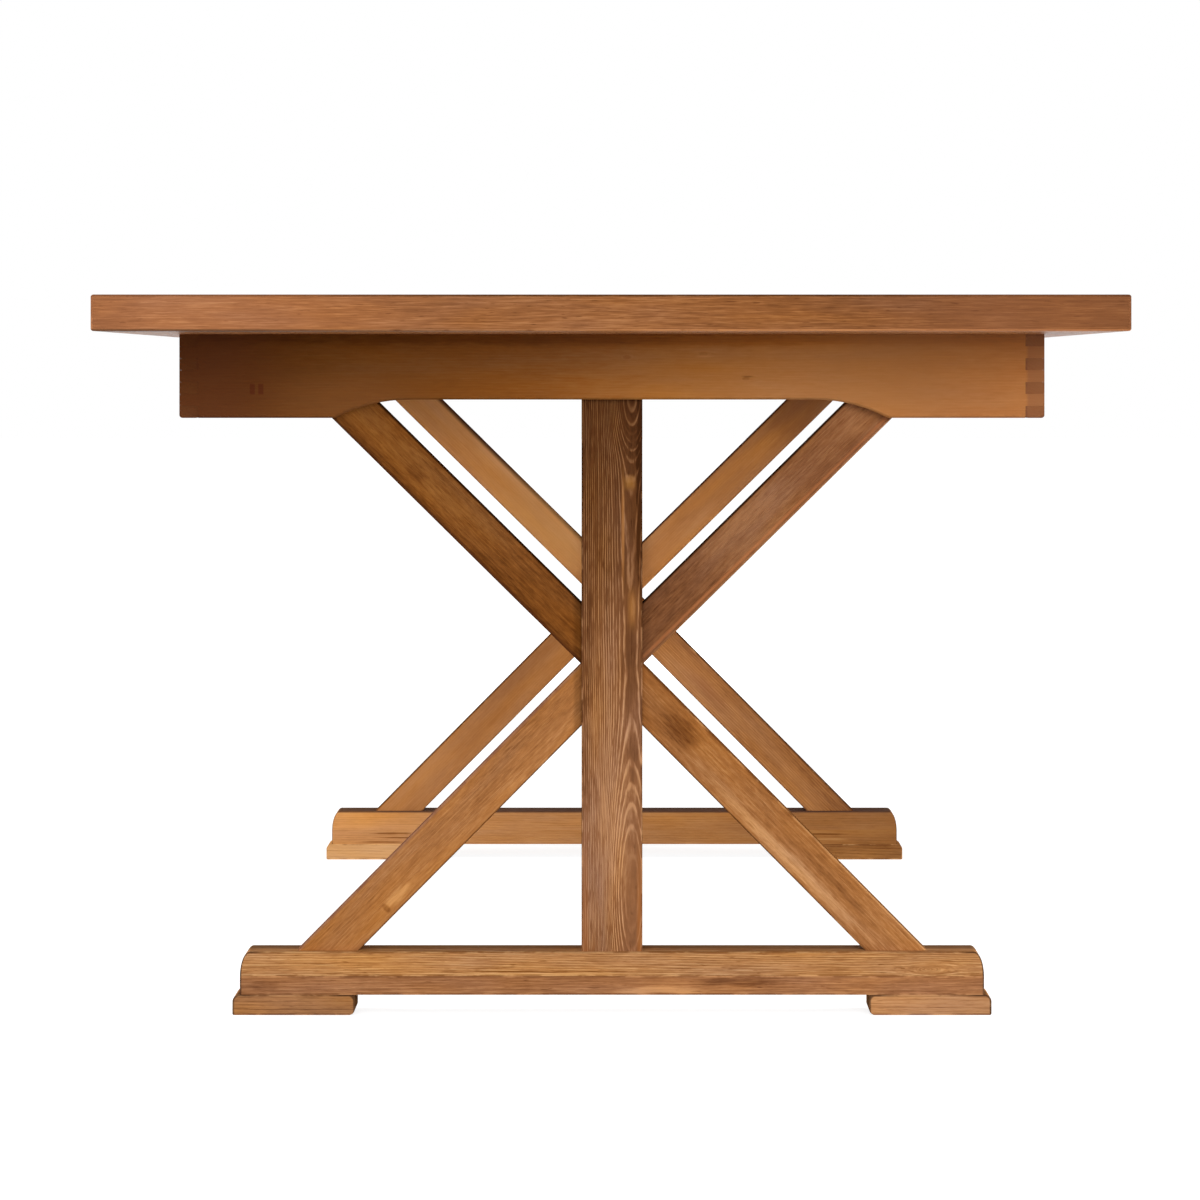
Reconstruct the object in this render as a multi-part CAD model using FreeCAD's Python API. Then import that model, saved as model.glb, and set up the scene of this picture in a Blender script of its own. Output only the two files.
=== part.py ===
import FreeCAD, Part
import math
import os

# A sawbuck dining table of stained pine: a planked top with breadboard ends, a finger-jointed
# apron box with shallow arches, and two trestles, each a post and four half braces that form
# an X between a foot and a bearer. A stretcher ties the two posts together.
# X runs across the table, Y along it and Z up. The origin is on the floor under the middle.
# "Near" is the -Y end and "far" the +Y end; "left" is -X and "right" is +X. Millimetres.

# ---- Overall ----
table_length = 1829.0
table_width = 1016.0
table_height = 762.0

# ---- Tabletop ----
top_thickness = 35.7
plank_count = 7
breadboard_width = 95.0
top_corner_radius = 4.5  # the four upright corners of the top
top_edge_radius = 2.5  # the arris all round the top
seam_bevel = 0.8  # the small bevel where two boards of the top meet
tongue_thickness = 12.0
tongue_length = 26.0
tongue_set_in = 18.0  # how far the tongues stop short of the top's sides
tongue_side_gap = 0.2
tongue_end_gap = 2.0  # room for the planks to move in the breadboard's groove
peg_radius = 4.0
peg_cover = 6.0  # wood left over the blind end of a peg

# ---- Apron box ----
apron_height = 88.9
apron_thickness = 20.0
apron_inset_ends = 296.0  # from the top's end to the end apron's outer face
apron_inset_sides = 48.7  # from the top's side to the side apron's outer face
apron_edge_radius = 3.2
finger_count = 7
finger_gap = 0.1
arch_rise = 19.5
arch_shoulder = 165.0  # the straight stretch between a corner and the arch
far_arch_shoulder = 108.0  # the same on the far end apron, whose arch is wider
arch_sweep_radius = 170.0  # the arc that brings the arch down to the shoulder
corner_block_leg = 38.0
corner_block_height = 60.0
corner_block_nose = 10.0  # width of each flat end of the block's slanted face

# ---- Trestles ----
pad_inset = 103.0  # from the top's side to the outer end of a foot pad
pad_length = 130.5
pad_height = 21.6
pad_reach = 7.7  # how far a pad stands out past the foot's end
pad_nose_radius = 7.2  # the rounding over the pad's outer end
pad_heel_radius = 6.4  # the rounding under the pad's inner end
pad_toe_radius = 2.0  # the rounding under the pad's outer end
foot_height = 46.0
foot_thickness = 44.0
foot_lower_board = 20.0  # height of the lower of the foot's two glued boards
foot_end_run = 11.0  # the elliptical rounding of the foot's ends, along X
foot_end_drop = 27.0  # and down
foot_edge_radius = 2.0
post_width = 65.0
post_thickness = 40.0
post_edge_radius = 1.8
brace_width = 46.6
brace_thickness = 28.0
brace_edge_radius = 1.8
brace_foot_inset = 94.0  # from the foot's end to the brace's centreline
brace_head_inset = 85.0  # from the bearer's end to the brace's centreline
bearer_height = 46.0
bearer_end_room = 44.0  # from the bearer's end to the side apron
bearer_edge_radius = 1.5
stretcher_width = 44.0
stretcher_height = 70.0
stretcher_edge_radius = 2.5

# ---- Wood joints ----
post_tenon_width = 44.0
post_tenon_thickness = 14.0
post_tenon_length = 34.0
stretcher_tenon_width = 14.0
stretcher_tenon_height = 50.0
stretcher_tenon_length = 24.0
mortise_side_gap = 0.2
mortise_end_gap = 2.0
dowel_radius = 4.0
dowel_length = 36.0
dowel_spacing = 20.0
dowel_end_gap = 1.0
hole_gap = 0.1  # on the radius, round every dowel, peg, screw and bolt

# ---- Battens under the top ----
batten_count = 2
batten_width = 45.0
batten_height = 22.0
batten_end_gap = 5.0
batten_edge_radius = 1.5
batten_screw_count = 5
batten_screw_inset = 30.0

# ---- Fasteners ----
screw_radius = 2.0
screw_head_radius = 4.2
screw_head_height = 3.0
screw_tip_height = 4.0
screw_slot_width = 1.0
screw_slot_depth = 1.2
screw_sink = 1.0  # how far a countersunk head sits below the wood
pad_screw_spacing = 70.0
pad_screw_length = 42.0
pad_screw_sink = 4.0
batten_screw_length = 36.0
bearer_screw_length = 42.0
bearer_screw_sink = 8.0
bearer_screw_offsets = (90.0, 240.0)  # from the post's centreline
bolt_radius = 4.0
bolt_head_radius = 6.5
bolt_head_height = 8.0
bolt_socket_width = 6.0  # across the flats
bolt_socket_depth = 4.0
bolt_bite = 20.0  # how far a bolt reaches into the top
bolt_inner_offset = 150.0  # from the post's centreline
bolt_end_inset = 25.0  # from the bearer's end to the outer bolt
bolt_well_depth = 12.0
bolt_well_gap = 1.0
washer_radius = 9.0
washer_thickness = 1.6
insert_radius = 6.5
insert_length = 22.0
clips_per_bay = 2  # on each side apron, between two battens or a batten and a trestle
clip_width = 20.0
clip_gauge = 1.6
clip_reach = 22.0
clip_grip = 6.0  # how far a clip enters the side apron's kerf
clip_drop = 12.7  # from the apron's top edge to the kerf
clip_kerf_height = 3.2
clip_kerf_depth = 8.0
clip_kerf_stop = 90.0  # from the end of the side apron to the kerf
clip_screw_length = 18.0

# ---- Places that follow from the sizes ----
half_length = table_length / 2
half_width = table_width / 2
top_underside = table_height - top_thickness
seam_y = half_length - breadboard_width
tongue_z = top_underside + top_thickness / 2
plank_width = table_width / plank_count
apron_bottom = top_underside - apron_height
end_apron_face = half_length - apron_inset_ends
end_apron_back = end_apron_face - apron_thickness
side_apron_face = half_width - apron_inset_sides
side_apron_back = side_apron_face - apron_thickness
finger_height = apron_height / finger_count
trestle_y = end_apron_back - post_thickness / 2
pad_end_x = half_width - pad_inset
foot_end_x = pad_end_x - pad_reach
foot_bottom = pad_height
foot_top = foot_bottom + foot_height
bearer_bottom = top_underside - bearer_height
bearer_end_x = side_apron_back - bearer_end_room
cross_z = (foot_top + bearer_bottom) / 2
brace_foot_x = foot_end_x - brace_foot_inset
brace_head_x = bearer_end_x - brace_head_inset
stretcher_end_y = trestle_y - post_thickness / 2
bolt_seat_z = bearer_bottom + bolt_well_depth
bolt_offsets = (bolt_inner_offset, bearer_end_x - bolt_end_inset)

LEFT_AND_RIGHT = {"left": -1, "right": 1}
NEAR_AND_FAR = {"near": -1, "far": 1}
ORIGIN = FreeCAD.Vector(0, 0, 0)
ALONG_X = FreeCAD.Vector(1, 0, 0)
ALONG_Y = FreeCAD.Vector(0, 1, 0)
ALONG_Z = FreeCAD.Vector(0, 0, 1)
SAME_PLACE = 0.001  # two coordinates closer than this are the same
HEXAGON_SIDES = 6
QUARTER_HANDLE = 0.5523  # handle length that bends a cubic curve into a quarter ellipse


# ---- Building helpers ----
def block(low, high):
    """A box between two opposite corners."""
    spans = [end - start for start, end in zip(low, high)]
    return Part.makeBox(spans[0], spans[1], spans[2], FreeCAD.Vector(*low))


def rod(radius, start, direction, length):
    """A round bar from a point along a direction."""
    return Part.makeCylinder(radius, length, FreeCAD.Vector(*start), direction)


def runs_along(edge, direction):
    """True for a straight edge parallel to the direction."""
    span = edge.Vertexes[-1].Point - edge.Vertexes[0].Point
    return span.Length > SAME_PLACE and span.cross(direction).Length < SAME_PLACE


def at(value, place):
    """True where a coordinate lies at the place."""
    return abs(value - place) < SAME_PLACE


def rounded(shape, radius, wanted):
    """The shape with the edges that the test picks rounded."""
    return shape.makeFillet(radius, [edge for edge in shape.Edges if wanted(edge)])


def bevelled(shape, size, wanted):
    """The shape with the edges that the test picks bevelled."""
    return shape.makeChamfer(size, [edge for edge in shape.Edges if wanted(edge)])


def without(shape, tools):
    """The shape with every tool cut out of it."""
    for tool in tools:
        shape = shape.cut(tool)
    return shape


def turned_board(edges, thickness):
    """A board whose outline lies in the XZ plane at y = 0, thickened along +Y."""
    return Part.Face(Part.Wire(edges)).extrude(FreeCAD.Vector(0, thickness, 0))


def polyline(points):
    """Straight edges through points of the XZ plane."""
    places = [FreeCAD.Vector(x, 0, z) for x, z in points]
    return [Part.makeLine(start, end) for start, end in zip(places, places[1:])]


def quarter(start, end, corner):
    """A quarter ellipse between two points of the XZ plane that rounds off their corner."""
    first, last, bend = (FreeCAD.Vector(x, 0, z) for x, z in (start, end, corner))
    curve = Part.BezierCurve()
    near_handle = first + (bend - first) * QUARTER_HANDLE
    far_handle = last + (bend - last) * QUARTER_HANDLE
    curve.setPoles([first, near_handle, far_handle, last])
    return curve.toShape()


def placed(shape, side, end):
    """A piece built at the right and far corner, carried to another corner by mirroring."""
    if side < 0:
        shape = shape.mirror(ORIGIN, ALONG_X)
    if end < 0:
        shape = shape.mirror(ORIGIN, ALONG_Y)
    return shape


def at_all_corners(shapes, sides=(-1, 1), ends=(-1, 1)):
    """Copies of fasteners built at the right and far corner, at each wanted corner."""
    return [placed(shape, side, end) for shape in shapes for side in sides for end in ends]


def spread(count, low, high):
    """Evenly spaced places from low to high."""
    return [low + (high - low) * index / (count - 1) for index in range(count)]


# ---- Fasteners, each pointing up from the face of its head at the origin ----
def wood_screw(length):
    """A countersunk wood screw with a slotted head."""
    shank_end = length - screw_tip_height
    head = Part.makeCone(screw_head_radius, screw_radius, screw_head_height)
    shank = rod(screw_radius, (0, 0, screw_head_height), ALONG_Z, shank_end - screw_head_height)
    tip = Part.makeCone(screw_radius, 0, screw_tip_height, FreeCAD.Vector(0, 0, shank_end))
    half_slot = screw_slot_width / 2
    slot = block(
        (-screw_head_radius, -half_slot, 0),
        (screw_head_radius, half_slot, screw_slot_depth),
    )
    return head.fuse([shank, tip]).removeSplitter().cut(slot)


def screw_hole(length, sink):
    """The countersunk hole for a wood screw whose head is sunk below the wood."""
    wide = screw_head_radius + hole_gap
    narrow = screw_radius + hole_gap
    well = rod(wide, (0, 0, -sink), ALONG_Z, sink)
    cone = Part.makeCone(wide, narrow, screw_head_height)
    bore = rod(narrow, (0, 0, screw_head_height), ALONG_Z, length - screw_head_height + hole_gap)
    return well.fuse([cone, bore]).removeSplitter()


def socket_bolt(length):
    """A socket-head bolt: the head is below the origin and the shank above it."""
    head = rod(bolt_head_radius, (0, 0, -bolt_head_height), ALONG_Z, bolt_head_height)
    shank = rod(bolt_radius, (0, 0, 0), ALONG_Z, length)
    corner_reach = bolt_socket_width / math.sqrt(3)
    turns = [math.tau * index / HEXAGON_SIDES for index in range(HEXAGON_SIDES + 1)]
    corners = [
        FreeCAD.Vector(
            corner_reach * math.cos(turn), corner_reach * math.sin(turn), -bolt_head_height
        )
        for turn in turns
    ]
    socket = Part.Face(Part.makePolygon(corners)).extrude(ALONG_Z * bolt_socket_depth)
    return head.fuse(shank).removeSplitter().cut(socket)


def moved(shape, place):
    """A copy of the shape carried to a place."""
    copy = shape.copy()
    copy.translate(FreeCAD.Vector(*place))
    return copy


# ---- Tabletop ----
def peg_places():
    """The centres of the pegs that hold one breadboard, one through each plank's tongue."""
    peg_y = seam_y + tongue_length / 2
    return [(-half_width + (index + 0.5) * plank_width, peg_y) for index in range(plank_count)]


def peg_rods(radius, length):
    """A round bar at every peg's place, from the underside of the top."""
    rods = [rod(radius, (x, y, top_underside), ALONG_Z, length) for x, y in peg_places()]
    return at_all_corners(rods, sides=(1,))


def top_fastener_holes():
    """Every hole that the pegs, bolts and screws need in the top."""
    pegs = peg_rods(peg_radius + hole_gap, top_thickness - peg_cover + hole_gap)
    inserts = [
        rod(insert_radius + hole_gap, (x, trestle_y, top_underside), ALONG_Z, insert_length)
        for x in bolt_offsets
    ]
    holes = pegs + at_all_corners(inserts)
    holes += [moved(screw_hole(batten_screw_length, 0), place) for place in batten_screw_places()]
    clip_holes = [moved(screw_hole(clip_screw_length, 0), place) for place in clip_screw_places()]
    return holes + at_all_corners(clip_holes, ends=(1,))


def tabletop_plank(index):
    """One lengthwise plank with its bevelled seams and the tongue at each end."""
    x_low = -half_width + index * plank_width
    x_high = x_low + plank_width
    is_first = index == 0
    is_last = index == plank_count - 1
    plank = block((x_low, -seam_y, top_underside), (x_high, seam_y, table_height))
    sides = [x for x, is_side in ((x_low, is_first), (x_high, is_last)) if is_side]
    if sides:
        plank = rounded(
            plank,
            top_edge_radius,
            lambda edge: runs_along(edge, ALONG_Y)
            and any(at(edge.CenterOfMass.x, side) for side in sides),
        )
    plank = bevelled(
        plank,
        seam_bevel,
        lambda edge: at(edge.CenterOfMass.z, table_height)
        and (
            runs_along(edge, ALONG_X)
            or at(edge.CenterOfMass.x, x_low)
            or at(edge.CenterOfMass.x, x_high)
        ),
    )
    tongue_low = x_low + (tongue_set_in if is_first else 0)
    tongue_high = x_high - (tongue_set_in if is_last else 0)
    half_tongue = tongue_thickness / 2
    tongue = block(
        (tongue_low, -seam_y - tongue_length, tongue_z - half_tongue),
        (tongue_high, seam_y + tongue_length, tongue_z + half_tongue),
    )
    return plank.fuse(tongue).removeSplitter()


def breadboard():
    """The far breadboard end, with rounded corners and the stopped groove for the tongues."""
    board = block((-half_width, seam_y, top_underside), (half_width, half_length, table_height))
    board = rounded(
        board,
        top_corner_radius,
        lambda edge: runs_along(edge, ALONG_Z) and at(edge.CenterOfMass.y, half_length),
    )
    board = rounded(
        board,
        top_edge_radius,
        lambda edge: edge.BoundBox.ZLength < SAME_PLACE and not at(edge.CenterOfMass.y, seam_y),
    )
    board = bevelled(
        board,
        seam_bevel,
        lambda edge: at(edge.CenterOfMass.y, seam_y) and at(edge.CenterOfMass.z, table_height),
    )
    half_groove = tongue_thickness / 2 + tongue_side_gap
    groove_end = half_width - tongue_set_in + tongue_side_gap
    groove = block(
        (-groove_end, seam_y, tongue_z - half_groove),
        (groove_end, seam_y + tongue_length + tongue_end_gap, tongue_z + half_groove),
    )
    return board.cut(groove)


# ---- Apron box ----
def apron_board(length, first_slot, shoulder):
    """An arched apron board along X, its outer face at y = 0, with a finger comb at each end."""
    end = length / 2
    arch_top = apron_bottom + arch_rise
    sweep_turn = math.acos(1 - arch_rise / arch_sweep_radius)
    arch_end = end - shoulder
    flat_end = arch_end - arch_sweep_radius * math.sin(sweep_turn)

    def sweep(side):
        """The arc from the arch's flat crown down to the shoulder."""
        half_turn = sweep_turn / 2
        middle_x = flat_end + arch_sweep_radius * math.sin(half_turn)
        middle_z = arch_top - arch_sweep_radius * (1 - math.cos(half_turn))
        places = ((flat_end, arch_top), (middle_x, middle_z), (arch_end, apron_bottom))
        return Part.Arc(*[FreeCAD.Vector(side * x, 0, z) for x, z in places]).toShape()

    outline = polyline(
        [
            (-arch_end, apron_bottom),
            (-end, apron_bottom),
            (-end, top_underside),
            (end, top_underside),
            (end, apron_bottom),
            (arch_end, apron_bottom),
        ]
    )
    outline += [sweep(1), sweep(-1)]
    outline += polyline([(flat_end, arch_top), (-flat_end, arch_top)])
    board = turned_board(Part.__sortEdges__(outline), apron_thickness)
    board = rounded(
        board,
        apron_edge_radius,
        lambda edge: edge.BoundBox.ZMax < arch_top + SAME_PLACE
        and (edge.BoundBox.YLength < SAME_PLACE or at(abs(edge.CenterOfMass.x), end)),
    )
    half_gap = finger_gap / 2
    slots = []
    for index in range(first_slot, finger_count, 2):
        slot_low = apron_bottom + index * finger_height - half_gap
        slot_high = slot_low + finger_height + finger_gap
        for side in (-1, 1):
            ends = sorted((side * (end + finger_gap), side * (end - apron_thickness - finger_gap)))
            slots.append(block((ends[0], 0, slot_low), (ends[1], apron_thickness, slot_high)))
    return without(board, slots)


def end_apron(shoulder):
    """An end apron in the far place: it holds every second finger of a corner, not the outer ones."""
    board = apron_board(2 * side_apron_face, 0, shoulder)
    board.rotate(ORIGIN, ALONG_Z, 180)
    board.translate(FreeCAD.Vector(0, end_apron_face, 0))
    return without(board, at_all_corners(bearer_screws_tools(), ends=(1,)))


def side_apron():
    """The right side apron, with the kerf that the top's clips hook into."""
    board = apron_board(2 * end_apron_face, 1, arch_shoulder)
    board.rotate(ORIGIN, ALONG_Z, 90)
    board.translate(FreeCAD.Vector(side_apron_face, 0, 0))
    kerf_end = end_apron_face - clip_kerf_stop
    kerf_top = top_underside - clip_drop + clip_kerf_height / 2
    kerf = block(
        (side_apron_back, -kerf_end, kerf_top - clip_kerf_height),
        (side_apron_back + clip_kerf_depth, kerf_end, kerf_top),
    )
    return board.cut(kerf)


def corner_block():
    """The glue block in the right and far corner of the apron box."""
    x, y = side_apron_back, end_apron_back
    leg, nose = corner_block_leg, corner_block_nose
    corners = [(x, y), (x - leg, y), (x - leg, y - nose), (x - nose, y - leg), (x, y - leg), (x, y)]
    low = top_underside - corner_block_height
    outline = Part.makePolygon([FreeCAD.Vector(px, py, low) for px, py in corners])
    return Part.Face(outline).extrude(ALONG_Z * corner_block_height)


# ---- Trestles, built for the far one ----
def foot():
    """The whole foot, rounded over at both ends, before it is parted into its two boards."""
    end, run, drop = foot_end_x, foot_end_run, foot_end_drop
    outline = polyline(
        [
            (-end, foot_top - drop),
            (-end, foot_bottom),
            (end, foot_bottom),
            (end, foot_top - drop),
        ]
    )
    outline.append(quarter((end, foot_top - drop), (end - run, foot_top), (end, foot_top)))
    outline += polyline([(end - run, foot_top), (run - end, foot_top)])
    outline.append(quarter((run - end, foot_top), (-end, foot_top - drop), (-end, foot_top)))
    beam = turned_board(outline, foot_thickness)
    beam = rounded(
        beam,
        foot_edge_radius,
        lambda edge: edge.BoundBox.YLength < SAME_PLACE
        and edge.BoundBox.ZMax > foot_bottom + SAME_PLACE,
    )
    beam.translate(FreeCAD.Vector(0, trestle_y - foot_thickness / 2, 0))
    tools = [post_tenon(-1, mortise_side_gap, mortise_end_gap)]
    tools += at_all_corners(brace_dowels(-1, hole_gap), ends=(1,))
    tools += at_all_corners(pad_screw_tools(), ends=(1,))
    return without(beam, tools)


def foot_board(is_upper):
    """One of the two boards that are glued face to face into the foot."""
    glue_z = foot_bottom + foot_lower_board
    low, high = (glue_z, foot_top) if is_upper else (foot_bottom, glue_z)
    slab = block((-half_width, 0, low), (half_width, half_length, high))
    return foot().common(slab)


def foot_pad():
    """The right pad under the foot: it stands out past the foot's end with a rounded nose."""
    outer, inner = pad_end_x, pad_end_x - pad_length
    nose, heel, toe = pad_nose_radius, pad_heel_radius, pad_toe_radius
    outline = polyline([(inner, heel), (inner, pad_height), (outer - nose, pad_height)])
    outline.append(
        quarter((outer - nose, pad_height), (outer, pad_height - nose), (outer, pad_height))
    )
    outline += polyline([(outer, pad_height - nose), (outer, toe)])
    outline.append(quarter((outer, toe), (outer - toe, 0), (outer, 0)))
    outline += polyline([(outer - toe, 0), (inner + heel, 0)])
    outline.append(quarter((inner + heel, 0), (inner, heel), (inner, 0)))
    pad = turned_board(outline, foot_thickness)
    pad.translate(FreeCAD.Vector(0, trestle_y - foot_thickness / 2, 0))
    return without(pad, pad_screw_tools())


def post_tenon(upward, side_gap=0.0, end_gap=0.0):
    """The tenon at the post's head (1) or foot (-1), or its mortise when gaps are given."""
    half_width_x = post_tenon_width / 2 + side_gap
    half_width_y = post_tenon_thickness / 2 + side_gap
    shoulder = bearer_bottom if upward > 0 else foot_top
    reach = shoulder + upward * (post_tenon_length + end_gap)
    return block(
        (-half_width_x, trestle_y - half_width_y, min(shoulder, reach)),
        (half_width_x, trestle_y + half_width_y, max(shoulder, reach)),
    )


def stretcher_tenon(side_gap=0.0, end_gap=0.0):
    """The stretcher's far tenon, or its mortise when gaps are given."""
    half_x = stretcher_tenon_width / 2 + side_gap
    half_z = stretcher_tenon_height / 2 + side_gap
    reach = stretcher_end_y + stretcher_tenon_length + end_gap
    return block((-half_x, stretcher_end_y, cross_z - half_z), (half_x, reach, cross_z + half_z))


def post():
    """The upright post with a tenon at each end and the stretcher's mortise."""
    low = (-post_width / 2, trestle_y - post_thickness / 2, foot_top)
    high = (post_width / 2, trestle_y + post_thickness / 2, bearer_bottom)
    upright = rounded(block(low, high), post_edge_radius, lambda edge: runs_along(edge, ALONG_Z))
    upright = upright.fuse([post_tenon(1), post_tenon(-1)]).removeSplitter()
    tools = [stretcher_tenon(mortise_side_gap, mortise_end_gap)]
    tools += at_all_corners(brace_dowels(1, hole_gap) + brace_dowels(-1, hole_gap), ends=(1,))
    return without(upright, tools)


def bearer():
    """The beam that heads the trestle and carries the top, with its bolt wells."""
    half_thickness = post_thickness / 2
    beam = block(
        (-bearer_end_x, trestle_y - half_thickness, bearer_bottom),
        (bearer_end_x, trestle_y + half_thickness, top_underside),
    )
    beam = rounded(
        beam,
        bearer_edge_radius,
        lambda edge: at(edge.CenterOfMass.z, bearer_bottom),
    )
    tools = [post_tenon(1, mortise_side_gap, mortise_end_gap)]
    tools += at_all_corners(brace_dowels(1, hole_gap), ends=(1,))
    tools += at_all_corners(bolt_tools(), ends=(1,))
    tools += at_all_corners(bearer_screws_tools(), ends=(1,))
    return without(beam, tools)


def brace_end(upward):
    """Where the right brace's centreline meets the bearer (1) or the foot (-1), in X and Z."""
    return (brace_head_x, bearer_bottom) if upward > 0 else (brace_foot_x, foot_top)


def half_brace(upward):
    """The right half brace, from the post to the bearer (1) or to the foot (-1)."""
    end_x, end_z = brace_end(upward)
    rise = end_z - cross_z
    length = math.hypot(end_x, rise)
    low = (-brace_width, -brace_thickness / 2, -brace_width / 2)
    high = (length + brace_width, brace_thickness / 2, brace_width / 2)
    bar = rounded(block(low, high), brace_edge_radius, lambda edge: runs_along(edge, ALONG_X))
    bar.rotate(ORIGIN, -ALONG_Y, math.degrees(math.atan2(rise, end_x)))
    bar.translate(FreeCAD.Vector(0, trestle_y, cross_z))
    room = block(
        (post_width / 2, trestle_y - brace_thickness, min(cross_z, end_z)),
        (half_width, trestle_y + brace_thickness, max(cross_z, end_z)),
    )
    return without(bar.common(room), brace_dowels(upward, hole_gap))


def brace_dowels(upward, gap=0.0):
    """The dowels at both ends of the right half brace, or their holes when a gap is given."""
    end_x, end_z = brace_end(upward)
    slope = (end_z - cross_z) / end_x
    length = dowel_length + (dowel_end_gap if gap else 0)
    quarter_length = dowel_length / 4
    post_face = post_width / 2
    post_z = cross_z + slope * (post_face + quarter_length)
    beam_x = end_x - quarter_length / abs(slope)
    dowels = []
    for offset in (-dowel_spacing / 2, dowel_spacing / 2):
        into_post = (post_face - length / 2, trestle_y, post_z + offset)
        into_beam = (beam_x + offset, trestle_y, end_z - length / 2)
        dowels.append(rod(dowel_radius + gap, into_post, ALONG_X, length))
        dowels.append(rod(dowel_radius + gap, into_beam, ALONG_Z, length))
    return dowels


# ---- Stretcher and battens ----
def stretcher():
    """The rail between the posts at the height where the braces cross."""
    low = (-stretcher_width / 2, -stretcher_end_y, cross_z - stretcher_height / 2)
    high = (stretcher_width / 2, stretcher_end_y, cross_z + stretcher_height / 2)
    rail = block(low, high)
    rail = rounded(rail, stretcher_edge_radius, lambda edge: runs_along(edge, ALONG_Y))
    tenon = stretcher_tenon()
    return rail.fuse([tenon, placed(tenon, 1, -1)]).removeSplitter()


def batten_places():
    """The battens' centrelines, evenly spaced between the two trestles."""
    return spread(batten_count + 2, -stretcher_end_y, stretcher_end_y)[1:-1]


def batten_screw_places():
    """The faces of the heads of every screw that holds the battens to the top."""
    end = side_apron_back - batten_end_gap - batten_screw_inset
    z = top_underside - batten_height + screw_sink
    return [(x, y, z) for y in batten_places() for x in spread(batten_screw_count, -end, end)]


def batten(index):
    """A batten across the underside of the planks."""
    y = batten_places()[index]
    end = side_apron_back - batten_end_gap
    low = (-end, y - batten_width / 2, top_underside - batten_height)
    high = (end, y + batten_width / 2, top_underside)
    strip = rounded(
        block(low, high),
        batten_edge_radius,
        lambda edge: at(edge.CenterOfMass.z, top_underside - batten_height),
    )
    hole = screw_hole(batten_screw_length, screw_sink)
    return without(strip, [moved(hole, place) for place in batten_screw_places()])


# ---- Fasteners in their places ----
def pad_screw_places():
    """The faces of the heads of the right pad's screws."""
    centre = pad_end_x - pad_length / 2
    offsets = (-pad_screw_spacing / 2, pad_screw_spacing / 2)
    return [(centre + offset, trestle_y, pad_screw_sink) for offset in offsets]


def pad_screw_tools():
    """The holes for the right pad's screws, through the pad and into the foot."""
    hole = screw_hole(pad_screw_length, pad_screw_sink)
    return [moved(hole, place) for place in pad_screw_places()]


def laid_along_y(shape, places):
    """Copies of an upright fastener laid along +Y, with the head's face at each place."""
    laid = shape.copy()
    laid.rotate(ORIGIN, ALONG_X, -90)
    return [moved(laid, place) for place in places]


def bearer_screw_places():
    """The faces of the heads of the right-hand screws that draw the end apron to the bearer."""
    y = stretcher_end_y + bearer_screw_sink
    z = bearer_bottom + bearer_height / 2
    return [(x, y, z) for x in bearer_screw_offsets]


def bearer_screws_tools():
    """The holes for those screws, through the bearer and into the end apron."""
    return laid_along_y(screw_hole(bearer_screw_length, bearer_screw_sink), bearer_screw_places())


def bolt_tools():
    """The wells and bores of the bolts on the right of the bearer."""
    well_radius = washer_radius + bolt_well_gap
    tools = []
    for x in bolt_offsets:
        tools.append(rod(well_radius, (x, trestle_y, bearer_bottom), ALONG_Z, bolt_well_depth))
        tools.append(
            rod(bolt_radius + hole_gap, (x, trestle_y, bearer_bottom), ALONG_Z, bearer_height)
        )
    return tools


def top_bolts():
    """The bolts that draw the top down on the bearers."""
    length = washer_thickness + top_underside + bolt_bite - bolt_seat_z
    bolt = socket_bolt(length)
    places = [(x, trestle_y, bolt_seat_z - washer_thickness) for x in bolt_offsets]
    return at_all_corners([moved(bolt, place) for place in places])


def bolt_washers():
    """A flat washer under the head of every bolt."""
    ring = rod(washer_radius, (0, 0, -washer_thickness), ALONG_Z, washer_thickness)
    bore = rod(bolt_radius + hole_gap, (0, 0, -washer_thickness), ALONG_Z, washer_thickness)
    washer = ring.cut(bore)
    return at_all_corners([moved(washer, (x, trestle_y, bolt_seat_z)) for x in bolt_offsets])


def threaded_inserts():
    """The threaded sleeves in the top that take the bolts."""
    sleeve = rod(insert_radius, ORIGIN, ALONG_Z, insert_length)
    sleeve = sleeve.cut(rod(bolt_radius + hole_gap, ORIGIN, ALONG_Z, insert_length))
    return at_all_corners([moved(sleeve, (x, trestle_y, top_underside)) for x in bolt_offsets])


def clip_places():
    """The places of the clips along a side apron, evenly spaced in each bay between battens."""
    lines = [-stretcher_end_y] + batten_places() + [stretcher_end_y]
    bays = zip(lines, lines[1:])
    return [y for low, high in bays for y in spread(clips_per_bay + 2, low, high)[1:-1]]


def clip_screw_places():
    """The faces of the heads of the screws in the right-hand clips."""
    x = side_apron_back - clip_reach / 2 - clip_gauge
    z = top_underside - clip_gauge - screw_head_height
    return [(x, y, z) for y in clip_places()]


def top_clips():
    """Z-shaped steel clips that hook in the kerfs and let the top move across its width."""
    half_clip = clip_width / 2
    low_z = top_underside - clip_drop - clip_gauge / 2
    clips = []
    for y in clip_places():
        front, back = y - half_clip, y + half_clip
        web_x = side_apron_back - clip_gauge
        hook = block(
            (web_x, front, low_z), (side_apron_back + clip_grip, back, low_z + clip_gauge)
        )
        web = block((web_x, front, low_z), (side_apron_back, back, top_underside))
        tab = block(
            (web_x - clip_reach, front, top_underside - clip_gauge),
            (side_apron_back, back, top_underside),
        )
        clips.append(hook.fuse([web, tab]).removeSplitter())
    hole = screw_hole(clip_screw_length, 0)
    holes = [moved(hole, place) for place in clip_screw_places()]
    return at_all_corners([without(clip, holes) for clip in clips], ends=(1,))


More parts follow.
